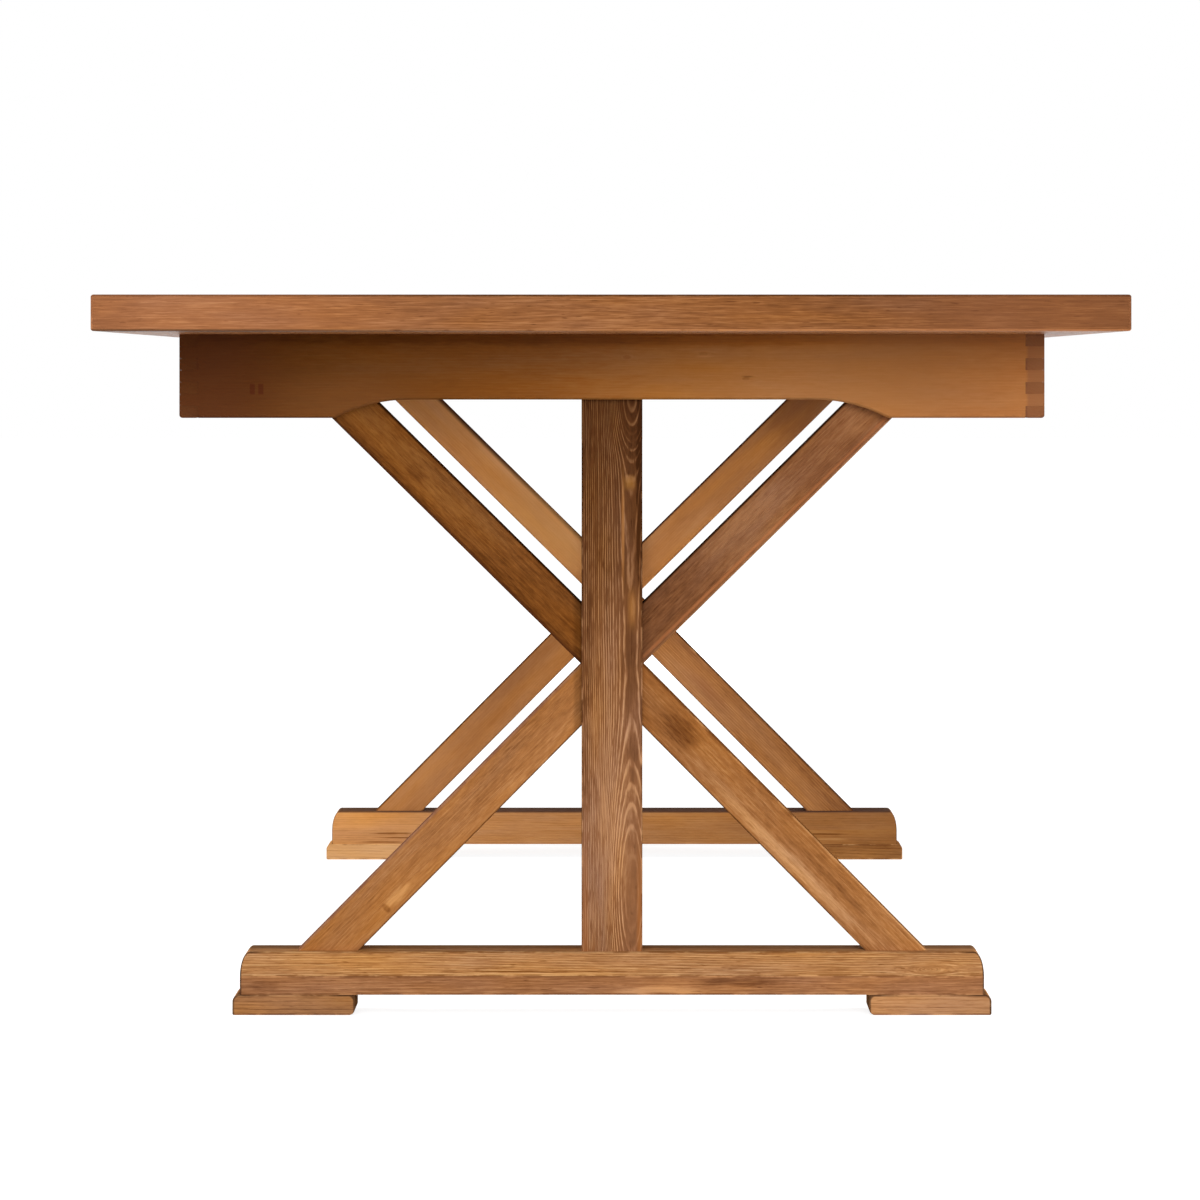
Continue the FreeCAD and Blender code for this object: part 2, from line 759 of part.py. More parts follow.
# ---- The table ----
def collect_top(nodes):
    """The boards of the top, drilled for every fastener that enters them."""
    holes = top_fastener_holes()
    for index in range(plank_count):
        nodes["top_plank_%d" % (index + 1)] = without(tabletop_plank(index), holes)
    for name, end in NEAR_AND_FAR.items():
        nodes["%s_breadboard" % name] = without(placed(breadboard(), 1, end), holes)
    nodes["breadboard_pegs"] = peg_rods(peg_radius, top_thickness - peg_cover)


def collect_aprons(nodes):
    """The apron box, its glue blocks and the battens between."""
    for name, shoulder in (("near", arch_shoulder), ("far", far_arch_shoulder)):
        nodes["%s_end_apron" % name] = placed(end_apron(shoulder), 1, NEAR_AND_FAR[name])
    for name, side in LEFT_AND_RIGHT.items():
        nodes["%s_side_apron" % name] = placed(side_apron(), side, 1)
        for end_name, end in NEAR_AND_FAR.items():
            nodes["%s_%s_corner_block" % (end_name, name)] = placed(corner_block(), side, end)
    for index in range(batten_count):
        nodes["top_batten_%d" % (index + 1)] = batten(index)


def collect_trestle(nodes, name, end):
    """One trestle: foot, pads, post, half braces and bearer."""
    nodes["%s_foot_lower_board" % name] = placed(foot_board(False), 1, end)
    nodes["%s_foot_upper_board" % name] = placed(foot_board(True), 1, end)
    nodes["%s_post" % name] = placed(post(), 1, end)
    nodes["%s_bearer" % name] = placed(bearer(), 1, end)
    for side_name, side in LEFT_AND_RIGHT.items():
        corner = "%s_%s" % (name, side_name)
        nodes["%s_pad" % corner] = placed(foot_pad(), side, end)
        nodes["%s_upper_brace" % corner] = placed(half_brace(1), side, end)
        nodes["%s_lower_brace" % corner] = placed(half_brace(-1), side, end)
    dowels = brace_dowels(1) + brace_dowels(-1)
    nodes["%s_brace_dowels" % name] = at_all_corners(dowels, ends=(end,))


def collect_fasteners(nodes):
    """The groups of identical fasteners."""
    batten_screw = wood_screw(batten_screw_length)
    pad_screw = wood_screw(pad_screw_length)
    clip_screw = wood_screw(clip_screw_length)
    bearer_screws = laid_along_y(wood_screw(bearer_screw_length), bearer_screw_places())
    nodes["top_bolts"] = top_bolts()
    nodes["bolt_washers"] = bolt_washers()
    nodes["threaded_inserts"] = threaded_inserts()
    nodes["top_clips"] = top_clips()
    nodes["clip_screws"] = at_all_corners(
        [moved(clip_screw, place) for place in clip_screw_places()], ends=(1,)
    )
    nodes["batten_screws"] = [moved(batten_screw, place) for place in batten_screw_places()]
    nodes["pad_screws"] = at_all_corners([moved(pad_screw, place) for place in pad_screw_places()])
    nodes["bearer_screws"] = at_all_corners(bearer_screws)


def table_nodes():
    """Every node of the table by name: one solid, or a list of solids for a group."""
    nodes = {}
    collect_top(nodes)
    collect_aprons(nodes)
    for name, end in NEAR_AND_FAR.items():
        collect_trestle(nodes, name, end)
    nodes["stretcher"] = stretcher()
    collect_fasteners(nodes)
    return nodes


os.makedirs("parts", exist_ok=True)
for node_name, pieces in table_nodes().items():
    shape = Part.makeCompound(pieces) if isinstance(pieces, list) else pieces
    shape.exportStep("parts/%s.step" % node_name)
    print("%-26s solids %2d  volume %10.0f" % (node_name, len(shape.Solids), shape.Volume))
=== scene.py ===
import math

import bpy
from mathutils import Matrix, Vector

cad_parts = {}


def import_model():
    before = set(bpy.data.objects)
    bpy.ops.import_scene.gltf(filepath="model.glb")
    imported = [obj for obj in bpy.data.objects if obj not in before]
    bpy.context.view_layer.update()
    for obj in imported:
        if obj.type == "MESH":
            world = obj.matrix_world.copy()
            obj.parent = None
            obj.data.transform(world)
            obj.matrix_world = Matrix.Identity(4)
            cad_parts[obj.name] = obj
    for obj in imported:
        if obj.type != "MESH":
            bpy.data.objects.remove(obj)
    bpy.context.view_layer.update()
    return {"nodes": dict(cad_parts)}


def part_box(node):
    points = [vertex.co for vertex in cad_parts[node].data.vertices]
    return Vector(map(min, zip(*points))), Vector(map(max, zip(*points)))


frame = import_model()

# A sawbuck table in stained, wire-brushed pine. The boards are the frame's own nodes; each gets a
# pine of its own, cut from a log with growth rings, fibres, knots, stain and worn arrises.
# Metres. A board's own directions are: u along its grain, v across its width, w through it.

nodes = frame["nodes"]

# ---- Camera: level, on the table's long axis, framed by shift as the view shows no convergence ----
IMAGE_SIZE = 1200
AXIS_PIXEL = (622.0, 370.5)  # where the camera's axis meets the image
FOCAL_PIXELS = 3407.0
SENSOR_WIDTH = 36.0
CAMERA_PLACE = (0.0107, -4.236, 0.6878)

# ---- Shapes that the materials follow ----
BRACE_HALF_WIDTH = 0.0233
UPPER_BRACE_ANGLE = math.radians(44.63)
LOWER_BRACE_ANGLE = math.radians(45.28)

# Directions
ALONG_TABLE = Vector((0.0, 1.0, 0.0))
ACROSS_TABLE = Vector((1.0, 0.0, 0.0))
UP = Vector((0.0, 0.0, 1.0))


# ======== Node graph helper ========
class Graph:
    """Short calls that add shader nodes to a tree and wire them up."""

    def __init__(self, tree):
        self.tree = tree

    def node(self, kind, inputs=None, **settings):
        made = self.tree.nodes.new(kind)
        for name, value in settings.items():
            setattr(made, name, value)
        for key, value in (inputs or {}).items():
            self.feed(made.inputs[key], value)
        return made

    def feed(self, socket, value):
        if isinstance(value, bpy.types.NodeSocket):
            self.tree.links.new(value, socket)
        else:
            socket.default_value = value

    def math(self, operation, *values, clamp=False):
        made = self.node("ShaderNodeMath", operation=operation, use_clamp=clamp)
        for socket, value in zip(made.inputs, values):
            self.feed(socket, value)
        return made.outputs[0]

    def total(self, *values):
        result = values[0]
        for value in values[1:]:
            result = self.math("ADD", result, value)
        return result

    def vector(self, operation, *values):
        made = self.node("ShaderNodeVectorMath", operation=operation)
        for socket, value in zip(made.inputs, values):
            self.feed(socket, value)
        return made.outputs["Value" if operation in ("LENGTH", "DOT_PRODUCT") else "Vector"]

    def split(self, vector):
        return self.node("ShaderNodeSeparateXYZ", {0: vector}).outputs

    def join(self, x, y, z):
        return self.node("ShaderNodeCombineXYZ", {0: x, 1: y, 2: z}).outputs[0]

    def grey(self, level):
        return self.join(level, level, level)

    def noise(self, place, stretch=(1.0, 1.0, 1.0), detail=2.0, roughness=0.5, output="Fac"):
        """Noise whose features per metre along each direction are given by stretch."""
        scaled = self.vector("MULTIPLY", place, stretch)
        inputs = {"Vector": scaled, "Scale": 1.0, "Detail": detail, "Roughness": roughness}
        return self.node("ShaderNodeTexNoise", inputs).outputs[output]

    def centred(self, value, size):
        """A noise of 0 to 1 turned into one about zero, of the given size."""
        return self.math("MULTIPLY", self.math("SUBTRACT", value, 0.5), size)

    def smooth(self, value, low, high, start=0.0, end=1.0):
        made = self.node("ShaderNodeMapRange", interpolation_type="SMOOTHSTEP")
        for socket, given in zip(made.inputs, (value, low, high, start, end)):
            self.feed(socket, given)
        return made.outputs[0]

    def mix(self, factor, first, second, blend="MIX"):
        made = self.node("ShaderNodeMix", data_type="RGBA", blend_type=blend)
        self.feed(made.inputs["Factor"], factor)
        self.feed(made.inputs[6], first)
        self.feed(made.inputs[7], second)
        return made.outputs[2]

    def scaled(self, colour, level):
        """The colour times a grey level."""
        return self.mix(1.0, colour, self.grey(level), "MULTIPLY")


def shade(red, green, blue):
    """A colour given as it looks on a screen, 0 to 255, as the linear colour that nodes use."""

    def linear(level):
        level /= 255.0
        return level / 12.92 if level <= 0.04045 else ((level + 0.055) / 1.055) ** 2.4

    return (linear(red), linear(green), linear(blue), 1.0)


def new_group(name, inputs, outputs):
    """An empty node group with the named sockets, and its graph, input and output nodes."""
    tree = bpy.data.node_groups.new(name, "ShaderNodeTree")
    for socket_name, kind, value in inputs:
        socket = tree.interface.new_socket(socket_name, in_out="INPUT", socket_type="NodeSocket" + kind)
        if value is not None:
            socket.default_value = value
    for socket_name, kind in outputs:
        tree.interface.new_socket(socket_name, in_out="OUTPUT", socket_type="NodeSocket" + kind)
    graph = Graph(tree)
    return tree, graph, graph.node("NodeGroupInput").outputs, graph.node("NodeGroupOutput").inputs


# ======== Pine ========
def knot_group():
    """Bends a board's grain round a knot, and gives the knot's own rings and outline."""
    tree, graph, given, result = new_group(
        "knot",
        [
            ("Place", "Vector", None),
            ("Centre", "Vector", None),
            ("Radius", "Float", 0.008),
            ("Stretch", "Float", 1.5),
        ],
        [("Place", "Vector"), ("Mask", "Float"), ("Shade", "Float")],
    )
    away = graph.split(graph.vector("SUBTRACT", given["Place"], given["Centre"]))
    ragged = graph.centred(graph.noise(given["Place"], (130.0, 130.0, 130.0), 3.0), 0.5)
    along = graph.math("DIVIDE", away[0], graph.math("MULTIPLY", given["Radius"], given["Stretch"]))
    across = graph.math("DIVIDE", away[1], given["Radius"])
    distance = graph.math("ADD", graph.vector("LENGTH", graph.join(along, across, 0.0)), ragged)
    around = graph.vector("DIVIDE", graph.join(along, across, 0.0), (2.2, 2.0, 1.0))
    far = graph.vector("LENGTH", around)
    pull = graph.math("EXPONENT", graph.math("MULTIPLY", graph.math("MULTIPLY", far, far), -1.0))
    shift = graph.math("MULTIPLY", graph.math("MULTIPLY", away[1], pull), -0.85)
    depth_shift = graph.math("MULTIPLY", graph.math("MULTIPLY", given["Radius"], pull), 1.3)
    graph.feed(result["Place"], graph.vector("ADD", given["Place"], graph.join(0.0, shift, depth_shift)))
    graph.feed(result["Mask"], graph.smooth(distance, 1.15, 0.75))
    rings = graph.math("FRACT", graph.math("MULTIPLY", distance, 3.5))
    graph.feed(result["Shade"], graph.smooth(rings, 0.2, 0.9))
    return tree


def blemish_group():
    """A soft, ragged oval patch along the grain, lighter or darker: stain that took more or less, and on
    some boards painted light and shade.
    """
    tree, graph, given, result = new_group(
        "blemish",
        [
            ("Tone", "Float", 0.0),
            ("Place", "Vector", None),
            ("Centre", "Vector", None),
            ("Half Size", "Vector", (0.02, 0.005, 1.0)),
            ("Strength", "Float", 0.3),
        ],
        [("Tone", "Float")],
    )
    away = graph.vector("SUBTRACT", given["Place"], given["Centre"])
    away = graph.vector("MULTIPLY", graph.vector("DIVIDE", away, given["Half Size"]), (1.0, 1.0, 0.0))
    ragged = graph.centred(graph.noise(given["Place"], (45.0, 260.0, 260.0), 3.0, 0.6), 0.9)
    distance = graph.math("ADD", graph.vector("LENGTH", away), ragged)
    mask = graph.smooth(distance, 1.25, 0.45)
    change = graph.math("MULTIPLY", mask, given["Strength"])
    graph.feed(result["Tone"], graph.math("ADD", given["Tone"], change))
    return tree


def ring_lines(graph, given, place):
    """Latewood lines, 0 to 1, on rings about a pith that tilts and wanders through the board."""
    bent = given["Bent Place"]
    tilt = {0: given["Tilt"], "Scale": graph.split(bent)[0]}
    tilted = graph.node("ShaderNodeVectorMath", tilt, operation="SCALE")
    from_pith = graph.vector("SUBTRACT", bent, given["Pith"])
    from_pith = graph.vector("ADD", from_pith, tilted.outputs["Vector"])
    wander = graph.noise(place, (2.2, 8.0, 8.0), 2.0, output="Color")
    wander = graph.vector("SUBTRACT", wander, (0.5, 0.5, 0.5))
    wander = graph.vector("MULTIPLY", wander, graph.grey(given["Wander"]))
    across = graph.vector("MULTIPLY", graph.vector("ADD", from_pith, wander), (0.0, 1.0, 1.0))
    waver = graph.centred(graph.noise(place, (26.0, 70.0, 70.0), 3.0, 0.5), 0.0014)
    radius = graph.math("ADD", graph.vector("LENGTH", across), waver)
    uneven = graph.noise(graph.join(radius, 0.0, 0.0), (110.0, 1.0, 1.0), 1.0)
    ring = graph.math("DIVIDE", radius, given["Ring Width"])
    ring = graph.math("ADD", ring, graph.centred(uneven, 0.9))
    phase = graph.math("FRACT", ring)
    line = graph.math("SUBTRACT", graph.smooth(phase, 0.46, 0.76), graph.smooth(phase, 0.82, 1.0))
    number = graph.node("ShaderNodeTexWhiteNoise", noise_dimensions="1D")
    graph.feed(number.inputs["W"], graph.math("FLOOR", ring))
    line = graph.math("MULTIPLY", line, graph.smooth(number.outputs["Value"], -0.9, 1.0))
    broken = graph.noise(place, (48.0, 260.0, 260.0), 2.0)
    line = graph.math("MULTIPLY", line, graph.smooth(broken, 0.22, 0.58))
    upright = graph.math("DIVIDE", graph.math("ABSOLUTE", graph.split(across)[1]), radius)
    return graph.math("MULTIPLY", line, graph.smooth(upright, 0.05, 0.7, 0.6, 1.0))


def edge_distance(graph, given):
    """The middle of the distances to the board's three pairs of faces: how far its nearest edge is."""
    inside = graph.vector("SUBTRACT", given["Half Size"], graph.vector("ABSOLUTE", given["Place"]))
    gap = graph.split(inside)
    nearer = graph.math("MINIMUM", gap[0], gap[1])
    farther = graph.math("MAXIMUM", gap[0], gap[1])
    return graph.math("MAXIMUM", nearer, graph.math("MINIMUM", farther, gap[2]))


def pine_group():
    """Stained pine: growth rings, fibres, uneven stain, dark end grain and worn edges, with painted
    shade on the narrow faces and arrises, and painted light and shade along some boards.
    """
    tree, graph, given, result = new_group(
        "pine",
        [
            ("Place", "Vector", None),
            ("Bent Place", "Vector", None),
            ("Normal", "Vector", None),
            ("Half Size", "Vector", (0.5, 0.05, 0.02)),
            ("Pith", "Vector", (0.0, 0.0, -0.05)),
            ("Tilt", "Vector", (0.0, 0.0, 0.02)),
            ("Wander", "Float", 0.012),
            ("Seed", "Vector", (0.0, 0.0, 0.0)),
            ("Ring Width", "Float", 0.0032),
            ("Rings", "Float", 0.5),
            ("Fibres", "Float", 0.5),
            ("Blotches", "Float", 0.4),
            ("Mottle", "Float", 0.2),
            ("Wear", "Float", 0.5),
            ("Wear Side", "Vector", (0.0, 0.0, 0.0)),
            ("Wear Bias", "Float", 0.0),
            ("Narrow Faces", "Float", 1.0),
            ("Outline", "Float", 0.5),
            ("Outline Side", "Vector", (0.0, 0.0, 0.0)),
            ("Fade Depth", "Float", 1.0),
            ("Base Roughness", "Float", 0.58),
            ("End Grain", "Float", 0.6),
            ("Tone", "Float", 0.0),
            ("Start Fade", "Float", 1.0),
            ("End Fade", "Float", 1.0),
            ("Dark", "Color", (0.1, 0.05, 0.02, 1.0)),
            ("Middle", "Color", (0.3, 0.15, 0.06, 1.0)),
            ("Light", "Color", (0.5, 0.3, 0.15, 1.0)),
        ],
        [("Colour", "Color"), ("Roughness", "Float"), ("Height", "Float")],
    )
    place = graph.vector("ADD", given["Bent Place"], given["Seed"])
    line = ring_lines(graph, given, place)
    coarse = graph.noise(place, (22.0, 460.0, 460.0), 3.0, 0.7)
    fine = graph.noise(place, (30.0, 850.0, 850.0), 2.0, 0.6)
    fibre = graph.math("ADD", graph.math("MULTIPLY", coarse, 0.5), graph.math("MULTIPLY", fine, 0.5))
    fibre = graph.smooth(fibre, 0.30, 0.70)
    blotch = graph.noise(place, (3.2, 17.0, 17.0), 3.0, 0.55)
    cloud = graph.noise(place, (9.0, 40.0, 40.0), 3.0, 0.6)
    mottle = graph.noise(place, (75.0, 300.0, 300.0), 3.0, 0.65)
    fleck = graph.smooth(graph.noise(place, (70.0, 700.0, 700.0), 1.0), 0.66, 0.76)

    tone = graph.total(
        0.5,
        given["Tone"],
        graph.math("MULTIPLY", graph.math("SUBTRACT", line, 0.25), given["Rings"]),
        graph.math("MULTIPLY", graph.centred(fibre, 0.55), given["Fibres"]),
        graph.math("MULTIPLY", graph.centred(blotch, 1.5), given["Blotches"]),
        graph.math("MULTIPLY", graph.centred(cloud, 0.9), given["Blotches"]),
        graph.math("MULTIPLY", graph.centred(mottle, 1.6), given["Mottle"]),
        graph.math("MULTIPLY", graph.math("MULTIPLY", fleck, -0.35), given["Fibres"]),
    )
    lower = graph.mix(graph.math("MULTIPLY", tone, 2.0, clamp=True), given["Dark"], given["Middle"])
    above = graph.math("SUBTRACT", graph.math("MULTIPLY", tone, 2.0), 1.0, clamp=True)
    colour = graph.mix(above, lower, given["Light"])

    # the stain drifts between amber and a duller brown
    drift = graph.centred(graph.noise(place, (7.0, 34.0, 34.0), 2.0), 1.0)
    red = graph.math("MULTIPLY_ADD", drift, 0.24, 1.0)
    blue = graph.math("MULTIPLY_ADD", drift, -0.9, 1.0)
    colour = graph.mix(1.0, colour, graph.join(red, 1.0, blue), "MULTIPLY")

    # end grain drinks more stain
    facing = graph.split(graph.vector("ABSOLUTE", given["Normal"]))
    end_grain = graph.smooth(facing[0], 0.55, 0.9)
    pores = graph.noise(place, (1500.0, 1500.0, 1500.0), 2.0)
    end_level = graph.math("ADD", graph.centred(pores, 0.35), given["End Grain"])
    colour = graph.mix(end_grain, colour, graph.scaled(colour, end_level))

    # the narrow faces are darkened: painted shade, as the upper faces of braces and feet lie in the
    # table top's shadow
    narrow = graph.smooth(facing[1], 0.75, 0.95)
    colour = graph.mix(narrow, colour, graph.scaled(colour, given["Narrow Faces"]))

    # the rounded arris between a face and its neighbours is darkened: stain gathers there; Outline Side
    # weights one side, and on the braces' upper arrises that weight is painted shade from the table top
    turned = graph.smooth(facing[2], 0.10, 0.32)
    arris = graph.math("MULTIPLY", turned, graph.smooth(facing[2], 0.975, 0.88))
    relative = graph.vector("DIVIDE", given["Place"], given["Half Size"])
    sided = graph.vector("DOT_PRODUCT", relative, given["Outline Side"])
    outline = graph.math("ADD", given["Outline"], sided)
    uneven = graph.smooth(graph.noise(place, (60.0, 60.0, 60.0), 3.0), 0.25, 0.6, 0.55, 1.0)
    outline = graph.math("MULTIPLY", graph.math("MULTIPLY", arris, outline, clamp=True), uneven)
    colour = graph.scaled(colour, graph.math("SUBTRACT", 1.0, outline))

    # stain lies dark along the edges, and is rubbed through on the arris itself
    edge = edge_distance(graph, given)
    patch = graph.noise(place, (38.0, 70.0, 70.0), 3.0, 0.6)
    side = graph.vector("DOT_PRODUCT", relative, given["Wear Side"])
    patch = graph.total(patch, side, given["Wear Bias"])
    settled = graph.math("MULTIPLY", graph.smooth(edge, 0.0026, 0.0008), graph.smooth(patch, 0.62, 0.40))
    colour = graph.mix(graph.math("MULTIPLY", settled, 0.55), colour, given["Dark"])
    worn = graph.math("MULTIPLY", graph.smooth(edge, 0.0024, 0.0006), graph.smooth(patch, 0.46, 0.62))
    colour = graph.mix(graph.math("MULTIPLY", worn, given["Wear"]), colour, given["Light"])

    # a board's colour ramps from one end to the other: uneven stain, and on some boards painted light
    # and shade as well
    share = graph.split(relative)[0]
    ends = {0: share, 1: -1.0, 2: 1.0, 3: given["Start Fade"], 4: given["End Fade"]}
    fade = graph.node("ShaderNodeMapRange", ends).outputs[0]
    green = graph.math("POWER", fade, graph.math("MULTIPLY_ADD", given["Fade Depth"], 0.15, 1.0))
    blue = graph.math("POWER", fade, graph.math("MULTIPLY_ADD", given["Fade Depth"], 0.4, 1.0))
    colour = graph.mix(1.0, colour, graph.join(fade, green, blue), "MULTIPLY")

    graph.feed(result["Colour"], colour)
    rough = graph.total(
        given["Base Roughness"],
        graph.centred(fibre, 0.16),
        graph.centred(cloud, 0.12),
        graph.math("MULTIPLY", end_grain, 0.15),
    )
    graph.feed(result["Roughness"], rough)
    height = graph.math("ADD", graph.math("MULTIPLY", line, 0.9), graph.math("MULTIPLY", fibre, 0.6))
    graph.feed(result["Height"], height)
    return tree


KNOT = knot_group()
BLEMISH = blemish_group()
PINE = pine_group()
# near-black brown for dark lines at board edges: the rim, and the painted shadow of the back line
EDGE_STAIN = shade(46, 28, 22)


class Look:
    """A finish: three stain shades and how strongly each feature shows."""

    def __init__(
        self,
        dark,
        middle,
        light,
        rings=0.5,
        fibres=0.5,
        blotches=0.35,
        mottle=0.15,
        wear=0.5,
        end_grain=0.6,
        narrow_faces=1.0,
        outline=0.5,
        relief=0.0003,
        gloss=0.0,
        roughness=0.58,
    ):
        self.dark = shade(*dark)
        self.middle = shade(*middle)
        self.light = shade(*light)
        self.strengths = {
            "Rings": rings,
            "Fibres": fibres,
            "Blotches": blotches,
            "Mottle": mottle,
            "Wear": wear,
            "End Grain": end_grain,
            "Narrow Faces": narrow_faces,
            "Outline": outline,
            "Base Roughness": roughness,
        }
        self.relief = relief
        self.gloss = gloss


def rim_distance(graph, place, half_size, corner):
    """How far inside its outline a point of the board's side lies; the upper corners are elliptical."""
    run, drop = corner
    u, v, _ = graph.split(place)
    over_u = graph.math("SUBTRACT", graph.math("ABSOLUTE", u), half_size[0] - run)
    over_v = graph.math("SUBTRACT", v, half_size[1] - drop)
    over = graph.join(graph.math("MAXIMUM", over_u, 0.0001), graph.math("MAXIMUM", over_v, 0.0), 0.0)
    reach = graph.vector("LENGTH", over)
    share = graph.vector("LENGTH", graph.vector("DIVIDE", over, (run, drop, 1.0)))
    return graph.math("SUBTRACT", graph.math("DIVIDE", reach, share), reach)


def pine_material(name, look, centre, half_size, axes, cut):
    """A pine for one board, in that board's own directions.

    The cut says how the board differs from its kin: pith, tilt, wander, seed and ring_width of the
    log; fade, the colour's level at both ends, which is uneven stain and on some boards partly painted
    light and shade; wear towards a side; outline towards a side, which on the braces paints shade on
    the upper arris; and
    knots: (u, v, radius, stretch, depth of colour)
    blemishes: (u, v, half length, half width, change of tone), patches of stain, and on some boards of
    painted light and shade
    stains: (u, v, half length, half width, softness of the edge, colour, strength), stain marks, and on
    some boards painted light and shade
    rim: a dark line round the side's outline, whose upper corners have this run and drop
    back_line: how far a painted shadow reaches over the narrow faces from the back
    corner_stain: the level of the painted contact shade where a brace meets its post
    underside: the level of painted light and shade along the lower face, from one end to the other
    """
    material = bpy.data.materials.new(name)
    material.use_nodes = True
    tree = material.node_tree
    tree.nodes.clear()
    graph = Graph(tree)
    turn = Matrix(axes).transposed().to_euler()
    coordinates = graph.node("ShaderNodeTexCoord").outputs
    place = graph.node("ShaderNodeMapping", vector_type="TEXTURE")
    for key, value in {"Vector": coordinates["Object"], "Location": centre, "Rotation": turn}.items():
        graph.feed(place.inputs[key], value)
    place = place.outputs[0]
    normal = graph.node("ShaderNodeMapping", vector_type="TEXTURE")
    for key, value in {"Vector": coordinates["Normal"], "Rotation": turn}.items():
        graph.feed(normal.inputs[key], value)
    normal = normal.outputs[0]

    bent = place
    knot_masks = []
    for u, v, radius, stretch, depth in cut.get("knots", ()):
        inputs = {"Place": bent, "Centre": (u, v, 0.0), "Radius": radius, "Stretch": stretch}
        made = graph.node("ShaderNodeGroup", node_tree=KNOT)
        for key, value in inputs.items():
            graph.feed(made.inputs[key], value)
        bent = made.outputs["Place"]
        knot_masks.append((made.outputs["Mask"], made.outputs["Shade"], depth))

    tone = cut.get("tone", 0.0)
    # soft patches of tone: stain that took more or less, and on some boards painted light and shade
    for u, v, half_length, half_width, strength in cut.get("blemishes", ()):
        made = graph.node("ShaderNodeGroup", node_tree=BLEMISH)
        inputs = {
            "Tone": tone,
            "Place": place,
            "Centre": (u, v, 0.0),
            "Half Size": (half_length, half_width, 1.0),
            "Strength": strength,
        }
        for key, value in inputs.items():
            graph.feed(made.inputs[key], value)
        tone = made.outputs["Tone"]

    seed = cut.get("seed", 0.0)
    start_fade, end_fade = cut.get("fade", (1.0, 1.0))
    pine = graph.node("ShaderNodeGroup", node_tree=PINE)
    inputs = {
        "Place": place,
        "Bent Place": bent,
        "Normal": normal,
        "Half Size": half_size,
        "Pith": (0.0, *cut.get("pith", (0.0, -0.05))),
        "Tilt": (0.0, *cut.get("tilt", (0.0, 0.015))),
        "Wander": cut.get("wander", 0.012),
        "Seed": (seed * 3.17, seed * 1.31, seed * 2.73),
        "Ring Width": cut.get("ring_width", 0.0032),
        "Wear Side": cut.get("wear_side", (0.0, 0.0, 0.0)),
        "Wear Bias": cut.get("wear_bias", 0.0),
        "Outline Side": cut.get("outline_side", (0.0, 0.0, 0.0)),
        "Fade Depth": cut.get("fade_depth", 1.0),
        "Tone": tone,
        "Start Fade": start_fade,
        "End Fade": end_fade,
        "Dark": look.dark,
        "Middle": look.middle,
        "Light": look.light,
        **look.strengths,
    }
    if "end_grain" in cut:
        inputs["End Grain"] = cut["end_grain"]
    for key, value in inputs.items():
        graph.feed(pine.inputs[key], value)

    colour = pine.outputs["Colour"]
    for mask, ring_shade, depth in knot_masks:
        knot_colour = graph.mix(ring_shade, look.dark, look.middle)
        colour = graph.mix(graph.math("MULTIPLY", mask, depth), colour, knot_colour)
    # each entry lays a colour over a soft box on the board: stain marks, and on some boards painted
    # light and painted shade
    for u, v, half_u, half_v, softness, stain, strength in cut.get("stains", ()):
        away = graph.split(graph.vector("ABSOLUTE", graph.vector("SUBTRACT", place, (u, v, 0.0))))
        mask_u = graph.smooth(away[0], half_u * (1 + softness), half_u * (1 - softness))
        mask_v = graph.smooth(away[1], half_v * (1 + softness), half_v * (1 - softness))
        mask = graph.math("MULTIPLY", graph.math("MULTIPLY", mask_u, mask_v), strength)
        colour = graph.mix(mask, colour, shade(*stain))
    # painted contact shade on a brace beside the post
    if "corner_stain" in cut:
        sideways = graph.math("ABSOLUTE", graph.split(coordinates["Object"])[0])
        from_post = graph.math("SUBTRACT", sideways, POST_SIDE)
        level = graph.smooth(from_post, 0.011, 0.005, 1.0, cut["corner_stain"])
        colour = graph.scaled(colour, level)
    if "rim" in cut:
        line = graph.smooth(rim_distance(graph, place, half_size, cut["rim"]), 0.0026, 0.0008)
        sideways = graph.math("ABSOLUTE", graph.split(normal)[2])
        line = graph.math("MULTIPLY", line, graph.smooth(sideways, 0.2, 0.5, 0.0, 0.75))
        along = graph.math("ABSOLUTE", graph.split(place)[0])
        at_end = graph.smooth(along, half_size[0] - 0.030, half_size[0] - 0.012, 0.25, 1.0)
        line = graph.math("MULTIPLY", line, at_end)
        colour = graph.mix(line, colour, EDGE_STAIN)
    # painted shadow along the back edge of the narrow faces
    if "back_line" in cut:
        line = graph.smooth(graph.split(place)[2], cut["back_line"] - half_size[2], 0.012 - half_size[2])
        colour = graph.mix(graph.math("MULTIPLY", line, 0.65), colour, EDGE_STAIN)
    # painted light and shade on the lower face: darker at one end, lighter towards the other
    if "underside" in cut:
        below = graph.smooth(graph.split(normal)[2], -0.1, -0.5)
        reach = (-0.8 * half_size[0], 0.5 * half_size[0])
        level = graph.smooth(graph.split(place)[0], *reach, *cut["underside"])
        colour = graph.mix(below, colour, graph.scaled(colour, level))
    bump = graph.node(
        "ShaderNodeBump",
        {"Height": pine.outputs["Height"], "Distance": look.relief, "Strength": 1.0},
    )
    surface = graph.node(
        "ShaderNodeBsdfPrincipled",
        {
            "Base Color": colour,
            "Roughness": pine.outputs["Roughness"],
            "Normal": bump.outputs["Normal"],
            "Specular IOR Level": look.gloss,
        },
    )
    output = graph.node("ShaderNodeOutputMaterial")
    tree.links.new(surface.outputs[0], output.inputs["Surface"])
    return material


def set_material(name, material):
    """Gives a node of the frame its material in every slot."""
    obj = nodes[name]
    if not obj.material_slots:
        obj.data.materials.append(material)
    for slot in obj.material_slots:
        slot.material = material


def dress_board(name, look, grain, width, **cut):
    """Dresses a board whose grain and width run along the given frame directions."""
    low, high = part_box(name)
    half = (high - low) / 2
    through = grain.cross(width)
    axes = (grain, width, through)
    half_size = tuple(sum(abs(axis[i]) * half[i] for i in range(3)) for axis in axes)
    set_material(name, pine_material("pine_" + name, look, (low + high) / 2, half_size, axes, cut))


